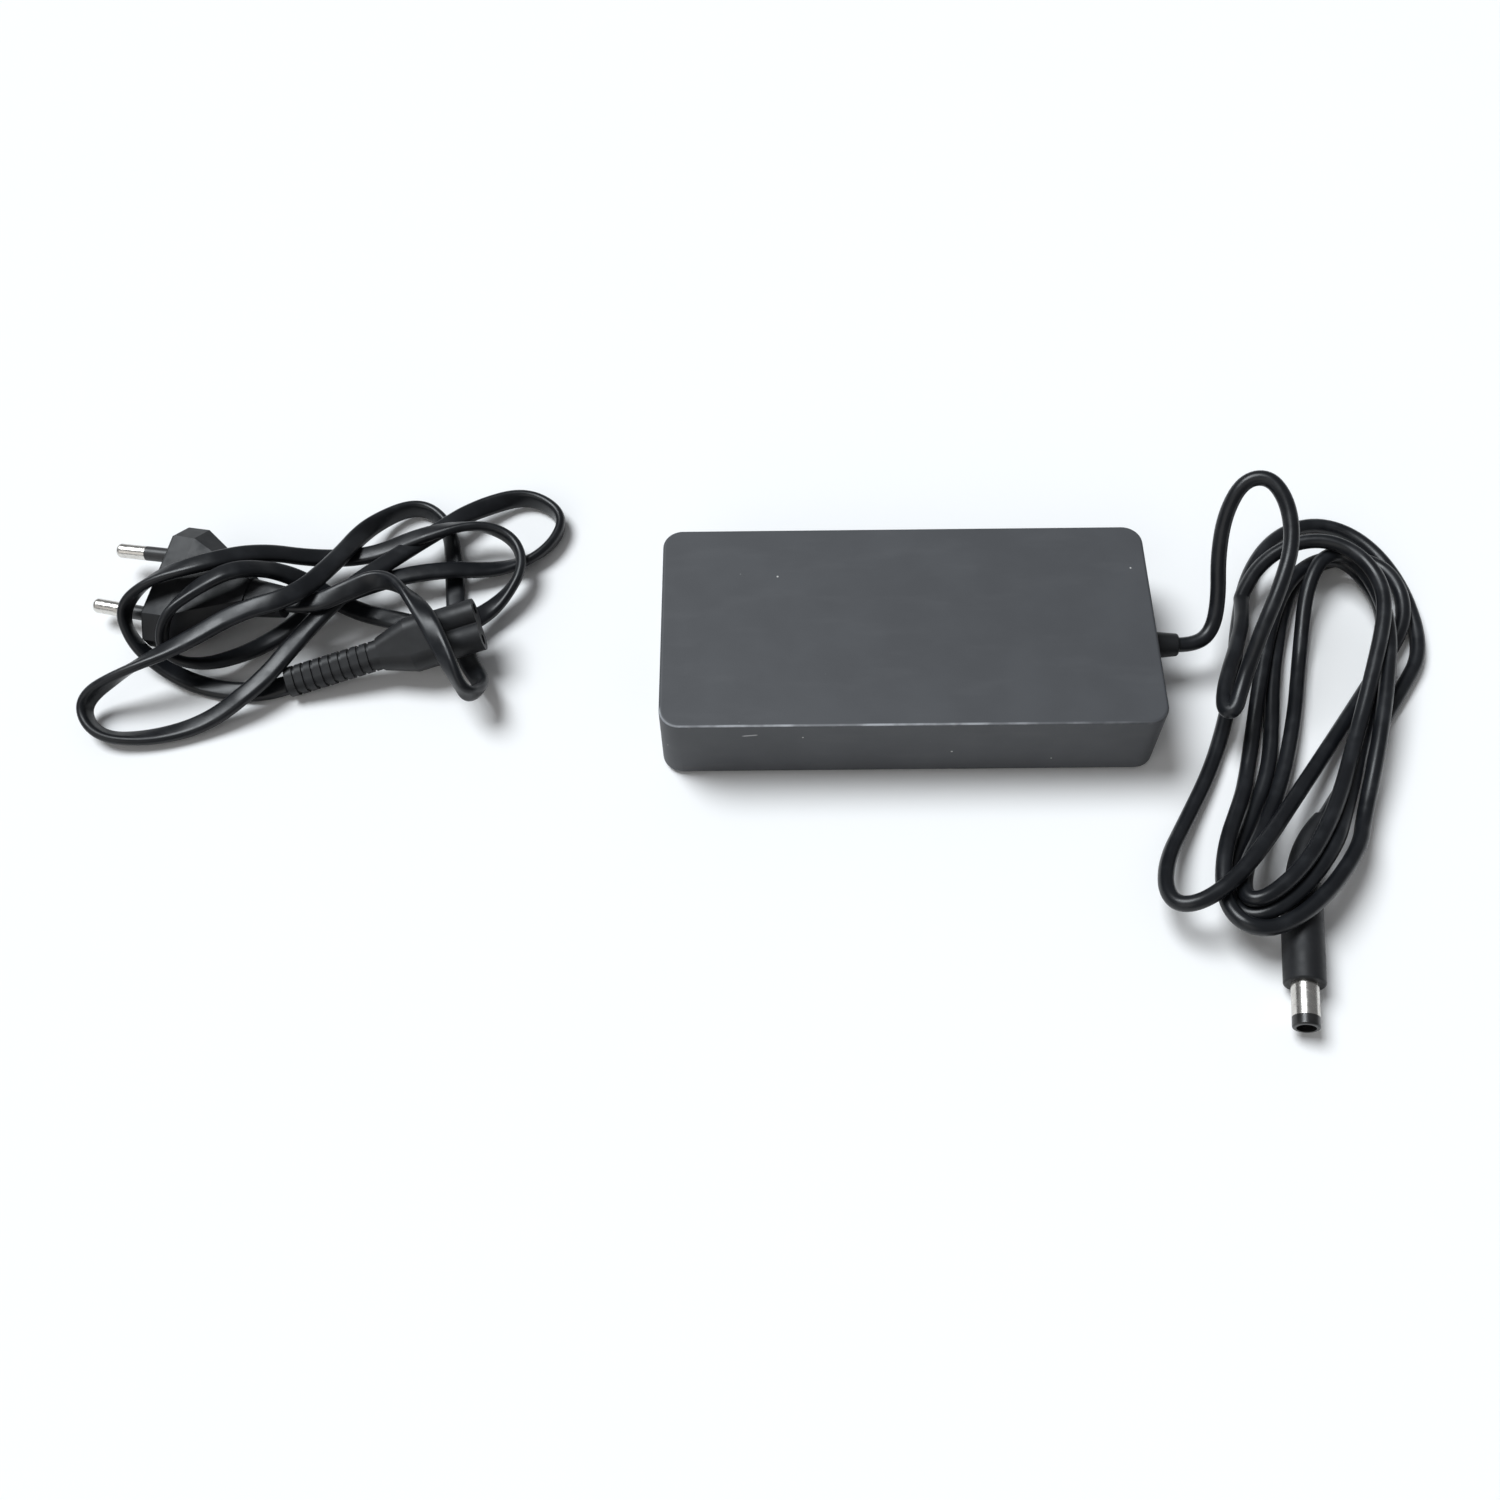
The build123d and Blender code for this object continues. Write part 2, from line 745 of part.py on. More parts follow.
def connector_body():
    """Figure-8 nose, grip and neck, with the two contact cavities."""
    nose = extrude(across_x(figure_eight(), -nose_length), amount=nose_length)
    grip_end = -nose_length - grip_length
    grip = loft(
        [
            across_x(RectangleRounded(grip_width, grip_thickness, 4.0), -nose_length),
            across_x(RectangleRounded(grip_width, grip_thickness, 4.0), -nose_length - grip_length * 0.45),
            across_x(RectangleRounded(neck_width + 1.0, neck_thickness + 1.0, 3.2), grip_end),
        ],
        ruled=True,
    )
    body = nose + grip
    for side in (-1, 1):
        y = side * pin_pitch / 2
        body -= rod_x(socket_mouth_radius, -socket_mouth_depth, 0, y)
        body -= rod_x(socket_radius + socket_wall, -socket_mouth_depth - socket_length, -socket_mouth_depth, y)
    return lay(connector_place, connector_turn) * body


def connector_contacts():
    """Two tubular spring contacts."""
    contacts = []
    for side in (-1, 1):
        y = side * pin_pitch / 2
        start = -socket_mouth_depth - socket_length
        tube = rod_x(socket_radius + socket_wall, start, -socket_mouth_depth, y)
        tube -= rod_x(socket_radius, start, -socket_mouth_depth, y)
        contacts.append(lay(connector_place, connector_turn) * tube)
    return contacts


def connector_relief():
    """Ribbed strain relief behind the grip."""
    start = -nose_length - grip_length
    section = RectangleRounded(neck_width, neck_thickness, 2.8)
    relief = extrude(across_x(section, start - connector_relief_length), amount=connector_relief_length)
    pitch = connector_relief_length / (relief_rib_count + 1)
    groove = RectangleRounded(neck_width + 4, neck_thickness + 4, 3.0) - RectangleRounded(
        neck_width - 2 * relief_rib_depth, neck_thickness - 2 * relief_rib_depth, 2.4
    )
    for rib in range(1, relief_rib_count + 1):
        x = start - rib * pitch
        relief -= extrude(across_x(groove, x - relief_rib_gap / 2), amount=relief_rib_gap)
    return lay(connector_place, connector_turn) * relief


# Mains plug ---------------------------------------------------------------------------------------


def plug_section(wide, flat, edge, thick):
    """Flattened hexagon with short upright ends: the plug's outline across its pins."""
    half = wide / 2
    corners = [
        (-half, -edge / 2), (-flat / 2, -thick / 2), (flat / 2, -thick / 2),
        (half, -edge / 2), (half, edge / 2), (flat / 2, thick / 2),
        (-flat / 2, thick / 2), (-half, edge / 2),
    ]
    return make_face(Polyline(*corners, close=True))


def mains_plug_body():
    """Two-pin plug body: a flattened hexagonal front that tapers to the neck."""
    front = extrude(
        across_x(plug_section(plug_face_width, plug_face_flat, plug_face_edge, plug_face_thickness), 0),
        amount=plug_straight,
    )
    tapered = loft(
        [
            across_x(
                plug_section(plug_face_width, plug_face_flat, plug_face_edge, plug_face_thickness),
                plug_straight,
            ),
            across_x(
                plug_section(plug_neck_width, plug_neck_width * 0.6, plug_face_edge, plug_neck_thickness),
                plug_straight + plug_taper,
            ),
        ],
        ruled=True,
    )
    body = front + tapered
    body = fillet(body.edges().filter_by(lambda edge: edge.center().X < 0.01), 0.8)
    for pin in pin_blanks(0.0):
        body -= pin
    return lay(mains_plug_place, mains_plug_turn) * body


def plug_tail():
    """Flexible strain relief behind the plug's neck."""
    start = plug_straight + plug_taper
    tail = loft(
        [
            across_x(RectangleRounded(plug_neck_width * 0.9, plug_neck_thickness * 0.9, 3.0), start),
            across_x(RectangleRounded(plug_tail_width, plug_tail_thickness, 2.6), start + plug_tail_length),
        ]
    )
    return lay(mains_plug_place, mains_plug_turn) * tail


def pin_blanks(tip_radius):
    """The two pins in the plug's frame, leaning in towards each other at their tips."""
    lean = degrees(atan2((mains_pin_spread - mains_pin_tip_spread) / 2, mains_pin_length))
    pins = []
    for side in (-1, 1):
        pin = rod_x(mains_pin_radius, -mains_pin_length, pin_root)
        if tip_radius:
            pin = fillet(pin.edges().sort_by(Axis.X)[0], tip_radius)
        pins.append(Pos(0, side * mains_pin_spread / 2, 0) * Rot(0, 0, side * lean) * pin)
    return pins


def sleeve_rings():
    """The ring of material that the insulating sleeve takes up on each pin."""
    lean = degrees(atan2((mains_pin_spread - mains_pin_tip_spread) / 2, mains_pin_length))
    rings = []
    for side in (-1, 1):
        ring = rod_x(mains_pin_radius, -sleeve_length, -seat_gap)
        ring -= rod_x(mains_pin_radius - sleeve_thickness, -sleeve_length, 0)
        rings.append(Pos(0, side * mains_pin_spread / 2, 0) * Rot(0, 0, side * lean) * ring)
    return rings


def mains_plug_pins():
    """Two 4 mm pins, necked down under their sleeves."""
    return [
        lay(mains_plug_place, mains_plug_turn) * (pin - ring)
        for pin, ring in zip(pin_blanks(1.3), sleeve_rings())
    ]


def mains_plug_sleeves():
    """Insulating sleeves on the roots of the pins, flush with the metal."""
    return [lay(mains_plug_place, mains_plug_turn) * ring for ring in sleeve_rings()]


def mains_lead():
    """The two-core lead along its route, as a round tube of the flat section's area."""
    area = flat_width * flat_thickness - (1 - pi / 4) * flat_thickness**2
    return round_tube("mains_lead", mains_route, 2 * (area / pi) ** 0.5)


def as_list(shape):
    """A list of solids from one solid, a compound or a list of either."""
    shapes = shape if isinstance(shape, list) else [shape]
    return [solid for item in shapes for solid in item.solids()]


nodes = {
    "housing_shell": housing_shell(),
    "base_plate": base_plate(),
    "rubber_feet": rubber_feet(),
    "rating_label": rating_label(),
    "inlet_block": inlet_block(),
    "inlet_pins": inlet_pins(),
    "inlet_wires": inlet_wires(),
    "insulation_sheet": insulation_sheet(),
    "circuit_board": circuit_board(),
    "heat_spreader": heat_spreader(),
    "fuse": fuse(),
    "line_filter_capacitor": line_filter_capacitor(),
    "safety_capacitors": safety_capacitors(),
    "line_choke_core": choke_core(-28.0, 1.5),
    "line_choke_winding": choke_winding(-28.0, 1.5),
    "bridge_rectifier": bridge_rectifier(),
    "bulk_capacitor": bulk_capacitor(),
    "primary_heat_sink": heat_sink(-1.0, 24.2, 34.0),
    "switching_transistor": power_package(3.5, 24.2, 1),
    "transformer_core": transformer_core(),
    "transformer_bobbin": transformer_bobbin(),
    "transformer_winding": transformer_winding(),
    "secondary_heat_sink": heat_sink(33.0, -24.2, 28.0),
    "output_rectifier": power_package(30.0, -24.2, -1),
    "output_capacitors": output_capacitors(),
    "output_choke_core": choke_core(42.5, 18.0),
    "output_choke_winding": choke_winding(42.5, 18.0),
    "optocoupler": optocoupler(),
    "controller_chip": controller_chip(),
    "output_wires": output_wires(),
    "lead_relief": lead_relief(),
    "lead_arch": round_tube("lead_arch", arch_route, lead_diameter),
    "lead_bundle": lead_bundle(),
    "barrel_plug_relief": barrel_plug_relief(),
    "barrel_plug_body": barrel_plug_body(),
    "barrel_plug_barrel": barrel_plug_barrel(),
    "barrel_plug_tip_ring": barrel_plug_tip_ring(),
    "barrel_plug_centre_pin": barrel_plug_centre_pin(),
    "connector_body": connector_body(),
    "connector_contacts": connector_contacts(),
    "connector_relief": connector_relief(),
    "mains_lead": mains_lead(),
    "mains_plug_body": mains_plug_body(),
    "mains_plug_tail": plug_tail(),
    "mains_plug_pins": mains_plug_pins(),
    "mains_plug_sleeves": mains_plug_sleeves(),
}

report_route("lead_arch", arch_route)
report_route("mains_lead", mains_route)
os.makedirs("parts", exist_ok=True)
for name, shape in nodes.items():
    export_step(Compound(children=as_list(shape)), f"parts/{name}.step")
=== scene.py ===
import logging
import math
from dataclasses import dataclass
from enum import Enum
from typing import Optional, Sequence, Union

import bpy
import numpy as np
from mathutils import Matrix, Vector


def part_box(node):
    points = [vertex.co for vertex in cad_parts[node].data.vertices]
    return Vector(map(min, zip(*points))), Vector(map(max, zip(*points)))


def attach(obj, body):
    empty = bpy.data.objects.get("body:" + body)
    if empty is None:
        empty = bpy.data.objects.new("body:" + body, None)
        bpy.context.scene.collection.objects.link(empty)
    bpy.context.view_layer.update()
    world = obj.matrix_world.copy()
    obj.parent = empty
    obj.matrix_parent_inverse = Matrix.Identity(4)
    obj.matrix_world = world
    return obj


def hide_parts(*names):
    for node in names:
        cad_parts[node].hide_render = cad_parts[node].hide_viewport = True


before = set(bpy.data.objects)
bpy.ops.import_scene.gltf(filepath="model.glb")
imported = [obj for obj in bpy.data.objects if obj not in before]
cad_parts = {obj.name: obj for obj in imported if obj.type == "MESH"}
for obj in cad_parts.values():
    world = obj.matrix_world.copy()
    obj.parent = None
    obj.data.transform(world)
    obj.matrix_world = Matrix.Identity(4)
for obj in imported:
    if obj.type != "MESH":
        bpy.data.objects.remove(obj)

# Laptop power adapter: a slim brick, its captive low-voltage lead lying in loose turns that end in a
# barrel plug, and a separate flat mains lead with a figure-8 connector and a two-pin plug.
# Lengths in the tables are millimetres; MM turns them into the scene's metres. HOUSING_CORNER is the radius
# of the housing's corners seen from above, as in the solid model. WAVE_REPEAT is how far apart Blender's wave
# texture puts its bands at a scale of 1, which is 2 pi / 20.

MM = 0.001
HOUSING_CORNER = 5.2
WAVE_REPEAT = 0.314
LOG = logging.getLogger("power_adapter")
Colour = tuple[float, float, float]
Point = tuple[float, float, float]
Span = tuple[float, float]


# ---------------------------------------------------------------------------------------- shaders


class Value:
    """A shader socket that adds Math nodes when it is used in arithmetic."""

    def __init__(self, shader: "Shader", socket: bpy.types.NodeSocket) -> None:
        """Wraps one output socket of a shader's tree."""
        self.shader = shader
        self.socket = socket

    def __add__(self, other: "Number") -> "Value":
        """This plus other."""
        return self.shader.maths("ADD", self, other)

    __radd__ = __add__

    def __sub__(self, other: "Number") -> "Value":
        """This minus other."""
        return self.shader.maths("SUBTRACT", self, other)

    def __rsub__(self, other: "Number") -> "Value":
        """other minus this."""
        return self.shader.maths("SUBTRACT", other, self)

    def __mul__(self, other: "Number") -> "Value":
        """This times other."""
        return self.shader.maths("MULTIPLY", self, other)

    __rmul__ = __mul__

    def __pow__(self, other: "Number") -> "Value":
        """This to the power of other."""
        return self.shader.maths("POWER", self, other)


Number = Union[Value, float]


class Shader:
    """One procedural material, built up node by node round a Principled BSDF."""

    def __init__(self, name: str) -> None:
        """Starts an empty material of that name."""
        self.material = bpy.data.materials.new(name)
        self.material.use_nodes = True
        self.tree = self.material.node_tree
        self.tree.nodes.clear()
        self.place = self.node("ShaderNodeTexCoord").outputs["Object"]

    def node(
        self, kind: str, settings: Optional[dict] = None, sockets: Optional[dict] = None
    ) -> bpy.types.Node:
        """Adds any node.

        Args:
            kind: the node's type, such as ShaderNodeBump.
            settings: its properties, set before its sockets; "stops" fills a colour ramp.
            sockets: a value or a link for each named or numbered input.

        Returns:
            The new node.
        """
        made = self.tree.nodes.new(kind)
        for key, value in (settings or {}).items():
            if key == "stops":
                while len(made.color_ramp.elements) < len(value):
                    made.color_ramp.elements.new(0.5)
                for stop, (where, shade) in zip(made.color_ramp.elements, value):
                    stop.position, stop.color = where, (shade, shade, shade, 1.0)
            else:
                setattr(made, key, value)
        for key, value in (sockets or {}).items():
            socket = made.inputs[key]
            if isinstance(value, Value):
                self.tree.links.new(value.socket, socket)
            elif isinstance(value, bpy.types.NodeSocket):
                self.tree.links.new(value, socket)
            else:
                socket.default_value = value
        return made

    def maths(self, operation: str, first: Number, second: Number) -> Value:
        """One Math node on two values."""
        made = self.node("ShaderNodeMath", {"operation": operation}, {0: first, 1: second})
        return Value(self, made.outputs[0])

    def noise(self, size_mm: float, detail: float = 2.0, stretch: Point = (1.0, 1.0, 1.0)) -> Value:
        """Noise whose features are about size_mm across, drawn out along an axis where stretch is below 1."""
        where = self.node("ShaderNodeMapping", None, {"Vector": self.place, "Scale": stretch})
        made = self.node(
            "ShaderNodeTexNoise", None,
            {"Vector": where.outputs[0], "Scale": 1.0 / (size_mm * MM), "Detail": detail},
        )
        return Value(self, made.outputs["Fac"])

    def cells(self, size_mm: float, feature: str = "F1") -> Value:
        """Distance inside scattered cells about size_mm apart, 0 at each cell's centre or edge."""
        made = self.node(
            "ShaderNodeTexVoronoi", {"feature": feature},
            {"Vector": self.place, "Scale": 1.0 / (size_mm * MM)},
        )
        return Value(self, made.outputs["Distance"])

    def bands(self, pitch_mm: float, direction: str, wander: float = 0.0) -> Value:
        """Parallel bands across one axis, a pitch apart."""
        made = self.node(
            "ShaderNodeTexWave", {"wave_type": "BANDS", "bands_direction": direction},
            {"Vector": self.place, "Scale": WAVE_REPEAT / (pitch_mm * MM), "Distortion": wander, "Detail": 1.0},
        )
        return Value(self, made.outputs["Fac"])

    def axis(self, name: str) -> Value:
        """The object's own X, Y or Z, in metres."""
        made = self.node("ShaderNodeSeparateXYZ", None, {0: self.place})
        return Value(self, made.outputs[name])

    def step(self, value: Number, low: float, high: float) -> Value:
        """0 below low, 1 above high and smooth between; turned round where low is above high."""
        made = self.node(
            "ShaderNodeMapRange", {"interpolation_type": "SMOOTHSTEP"},
            {"Value": value, "From Min": low, "From Max": high},
        )
        return Value(self, made.outputs["Result"])

    def ramp(self, value: Value, span: Span, base: float = 0.0) -> Value:
        """A step between two lengths in millimetres, both measured from base in metres."""
        return self.step(value, base + span[0] * MM, base + span[1] * MM)

    def specks(self, apart_mm: float, size: Span, patch_mm: float, patch: Span) -> Value:
        """Small round specks, about apart_mm apart and only inside patches about patch_mm across."""
        return self.step(self.cells(apart_mm), *size) * self.step(self.noise(patch_mm, 1.0), *patch)

    def blend(self, factor: Number, first: object, second: object) -> bpy.types.NodeSocket:
        """A colour between two colours."""
        made = self.node("ShaderNodeMix", {"data_type": "RGBA"}, {0: factor})
        for index, value in ((6, first), (7, second)):
            if isinstance(value, bpy.types.NodeSocket):
                self.tree.links.new(value, made.inputs[index])
            else:
                made.inputs[index].default_value = (*value, 1.0)
        return made.outputs[2]

    def bump(
        self, height: Value, depth_mm: float, under: Optional[bpy.types.NodeSocket] = None
    ) -> bpy.types.NodeSocket:
        """A surface normal raised by height, depth_mm high where height is 1."""
        sockets = {"Height": height, "Distance": depth_mm * MM, "Strength": 1.0}
        if under is not None:
            sockets["Normal"] = under
        return self.node("ShaderNodeBump", None, sockets).outputs[0]

    def close(self, sockets: dict) -> bpy.types.Material:
        """Joins the Principled BSDF to the output and returns the material."""
        body = self.node("ShaderNodeBsdfPrincipled", None, sockets)
        out = self.node("ShaderNodeOutputMaterial")
        self.tree.links.new(body.outputs[0], out.inputs[0])
        return self.material


class Marks(Enum):
    """What time or the maker has left on a finish, besides its grain, and a highlight painted along the
    housing's top front edge.
    """

    PLAIN = "plain"
    WORN_EDGE_AND_HIGHLIGHT = "worn edge and highlight"
    HANDLED = "handled"
    TURNED = "turned"
    WOUND = "wound"
    TRACKS = "tracks"


@dataclass(frozen=True)
class Finish:
    """A finish: two shades it drifts between, its gloss, and the grain and marks on it."""

    name: str
    slot: str
    colour: Colour
    shade: Colour
    roughness: float
    swing: float = 0.08
    metallic: float = 0.0
    mottle_mm: float = 9.0
    grain_mm: float = 0.35
    grain_depth_mm: float = 0.01
    coat: float = 0.0
    specular: float = 0.5
    marks: Marks = Marks.PLAIN

    def material(self) -> bpy.types.Material:
        """Builds the finish as a material.

        Returns:
            The material, with every varying input driven by noise in the piece's own coordinates.
        """
        shader = Shader(self.name)
        drift = shader.step(shader.noise(self.mottle_mm, 3.0), 0.3, 0.7)
        colour = shader.blend(drift, self.colour, self.shade)
        rough = shader.noise(self.mottle_mm * 0.45, 3.0) * self.swing + (self.roughness - 0.5 * self.swing)
        normal = shader.bump(shader.noise(self.grain_mm, 2.0), self.grain_depth_mm)
        colour, rough, normal = MARKERS[self.marks](shader, colour, rough, normal)
        return shader.close({
            "Base Color": colour, "Roughness": rough, "Normal": normal,
            "Metallic": self.metallic, "Coat Weight": self.coat, "Coat Roughness": 0.25,
            "Specular IOR Level": self.specular,
        })


def leave_plain(shader: Shader, colour: object, rough: Value, normal: object) -> tuple:
    """Leaves the surface as it is."""
    return colour, rough, normal


@dataclass(frozen=True)
class EdgeWearAndHighlight:
    """Where the housing is rubbed and where a highlight is painted along its top front edge. A pair is where a
    mark begins and where it is full, in millimetres.
    """

    rim_from_outline: Span = (0.62, 0.3)
    rim_from_top: Span = (-0.6, -0.3)
    rim_across: Span = (-24.0, -27.0)
    rim_along: Span = (75.0, -5.0)
    chips_from_top: Span = (-1.2, -0.4)
    chips_on_side: Span = (-0.1, -0.45)
    scratch_start: Span = (-43.0, -42.0)
    scratch_end: Span = (-38.6, -39.4)
    scratch_bottom: Span = (23.35, 23.6)
    scratch_top: Span = (24.1, 23.85)
    scratch_from_front: Span = (1.0, 0.5)
    scratch_tilt: float = -0.12
    # Colour of the painted highlight along the top front edge.
    rim_highlight_colour: Colour = (0.5, 0.52, 0.55)
    chip_colour: Colour = (0.22, 0.225, 0.235)
    scratch_colour: Colour = (0.5, 0.5, 0.5)
    speck_colour: Colour = (0.6, 0.6, 0.58)
    rubbed_colour: Colour = (0.105, 0.108, 0.115)


def wear_edge_and_highlight(shader: Shader, colour: object, rough: Value, normal: object) -> tuple:
    """Rubs the housing and paints a highlight on it: a bright broken line of painted highlight along its top
    front edge, chips, a scratch and specks of lint.

    The line follows the rounded outline, which is corner - sqrt(past_x^2 + past_y^2) away from a point that
    is past_x and past_y beyond the corner centres.
    """
    wear_and_highlight, corner = EdgeWearAndHighlight(), HOUSING_CORNER * MM
    along, across, up = shader.axis("X"), shader.axis("Y"), shader.axis("Z")
    low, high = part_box("housing_shell")
    past_x = shader.maths("MAXIMUM", shader.maths("ABSOLUTE", along, 0.0) - (high.x - corner), 0.0)
    past_y = shader.maths("MAXIMUM", shader.maths("ABSOLUTE", across, 0.0) - (high.y - corner), 0.0)
    inset = corner - shader.maths("SQRT", past_x * past_x + past_y * past_y, 0.0)
    near = shader.ramp(inset, wear_and_highlight.rim_from_outline) * shader.ramp(up, wear_and_highlight.rim_from_top, high.z)
    near = near * shader.ramp(across, wear_and_highlight.rim_across) * shader.ramp(along, wear_and_highlight.rim_along)
    # Painted highlight: a bright bluish broken line along the top front edge, fading towards the right, standing
    # in for light caught by the edge's small rounding.
    painted_rim_highlight = near * (shader.step(shader.noise(7.0, 4.0), 0.4, 0.62) * 0.55 + 0.35)
    chips = shader.ramp(up, wear_and_highlight.chips_from_top, high.z) * shader.step(shader.noise(3.0, 5.0), 0.56, 0.72)
    chips = chips * shader.ramp(up, wear_and_highlight.chips_on_side, high.z) * 0.35
    tilted = up + along * wear_and_highlight.scratch_tilt
    scratch = (
        shader.ramp(along, wear_and_highlight.scratch_start) * shader.ramp(along, wear_and_highlight.scratch_end)
        * shader.ramp(tilted, wear_and_highlight.scratch_bottom) * shader.ramp(tilted, wear_and_highlight.scratch_top)
        * shader.ramp(across, wear_and_highlight.scratch_from_front, low.y)
    )
    speck = shader.specks(9.0, (0.035, 0.02), 14.0, (0.5, 0.56))
    rubbed = shader.step(shader.noise(5.0, 6.0, (0.25, 1.0, 1.0)), 0.5, 0.75)
    colour = shader.blend(painted_rim_highlight, colour, wear_and_highlight.rim_highlight_colour)
    colour = shader.blend(chips, colour, wear_and_highlight.chip_colour)
    colour = shader.blend(scratch * 0.6, colour, wear_and_highlight.scratch_colour)
    colour = shader.blend(speck * 0.8, colour, wear_and_highlight.speck_colour)
    colour = shader.blend(rubbed * 0.1, colour, wear_and_highlight.rubbed_colour)
    return colour, rough - painted_rim_highlight * 0.15 + speck * 0.2, normal


def handle(shader: Shader, colour: object, rough: Value, normal: object) -> tuple:
    """Dulls a soft jacket in patches, with a faint uneven bump and a little lint."""
    dull = shader.step(shader.noise(6.0, 4.0), 0.45, 0.7)
    lint = shader.specks(7.0, (0.03, 0.018), 11.0, (0.52, 0.58))
    colour = shader.blend(dull * 0.2, colour, (0.022, 0.024, 0.028))
    colour = shader.blend(lint * 0.6, colour, (0.35, 0.35, 0.34))
    wave = shader.bump(shader.noise(4.5, 2.0), 0.06, normal)
    return colour, rough + dull * 0.12 + lint * 0.3, wave


def turn(shader: Shader, colour: object, rough: Value, normal: object) -> tuple:
    """Fine hairlines and a few darker rubbed bands on plated metal."""
    lines = shader.noise(0.12, 3.0, (1.0, 0.25, 1.0))
    rubbed = shader.step(shader.noise(1.6, 4.0), 0.5, 0.72)
    colour = shader.blend(rubbed * 0.35, colour, (0.42, 0.39, 0.35))
    return colour, rough + rubbed * 0.16 + lines * 0.06, shader.bump(lines, 0.004, normal)


def wind(shader: Shader, colour: object, rough: Value, normal: object) -> tuple:
    """Lays close turns of wire side by side, with painted shade in the grooves between them."""
    wires = shader.bands(0.55, "DIAGONAL", 0.4)
    # Painted shade: dark brown in the grooves between the turns.
    colour = shader.blend(shader.step(wires, 0.35, 0.05) * 0.7, colour, (0.05, 0.02, 0.01))
    return colour, rough, shader.bump(wires, 0.12, normal)


def track(shader: Shader, colour: object, rough: Value, normal: object) -> tuple:
    """Raises broad copper tracks under the green mask, with small bright pads."""
    ways = shader.step(shader.cells(6.5, "DISTANCE_TO_EDGE"), 0.09, 0.13)
    pads = shader.step(shader.cells(3.4), 0.16, 0.12)
    colour = shader.blend(ways * 0.6, colour, (0.05, 0.28, 0.12))
    colour = shader.blend(pads * 0.9, colour, (0.62, 0.6, 0.56))
    return colour, rough, shader.bump(ways, 0.035, normal)


MARKERS = {
    Marks.PLAIN: leave_plain, Marks.WORN_EDGE_AND_HIGHLIGHT: wear_edge_and_highlight, Marks.HANDLED: handle,
    Marks.TURNED: turn, Marks.WOUND: wind, Marks.TRACKS: track,
}

HOUSING = Finish("housing_plastic", "housing", (0.046, 0.0485, 0.054), (0.053, 0.056, 0.062), 0.6, 0.1,
                 mottle_mm=16.0, grain_mm=0.45, grain_depth_mm=0.02, marks=Marks.WORN_EDGE_AND_HIGHLIGHT)
JACKET = Finish("lead_jacket", "lead_jacket", (0.006, 0.0068, 0.0085), (0.009, 0.01, 0.012), 0.31, 0.1,
                mottle_mm=12.0, grain_mm=0.5, grain_depth_mm=0.004, specular=0.32, marks=Marks.HANDLED)
FLAT_JACKET = Finish("flat_lead_jacket", "lead_jacket", (0.006, 0.0068, 0.0085), (0.009, 0.01, 0.012), 0.32,
                     0.1, mottle_mm=12.0, grain_mm=0.5, grain_depth_mm=0.004, specular=0.32, marks=Marks.HANDLED)
GRIP = Finish("grip_plastic", "grip_plastic", (0.009, 0.0095, 0.0105), (0.013, 0.0135, 0.015), 0.46, 0.12,
              mottle_mm=5.0, grain_mm=0.3, grain_depth_mm=0.012, specular=0.3, marks=Marks.HANDLED)
PLATING = Finish("nickel_plate", "plated_pin", (0.70, 0.68, 0.64), (0.62, 0.60, 0.57), 0.2, 0.08, 1.0,
                 mottle_mm=1.8, grain_mm=0.2, grain_depth_mm=0.002, marks=Marks.TURNED)
SLEEVE = Finish("sleeve_plastic", "sleeve_plastic", (0.016, 0.016, 0.017), (0.022, 0.022, 0.023), 0.42)
TIP = Finish("tip_ring_plastic", "tip_plastic", (0.009, 0.009, 0.009), (0.014, 0.014, 0.014), 0.3,
             mottle_mm=2.0)
CONTACT = Finish("contact_bronze", "contact_metal", (0.62, 0.48, 0.24), (0.5, 0.38, 0.18), 0.32, 0.1, 1.0,
                 mottle_mm=1.5, marks=Marks.TURNED)

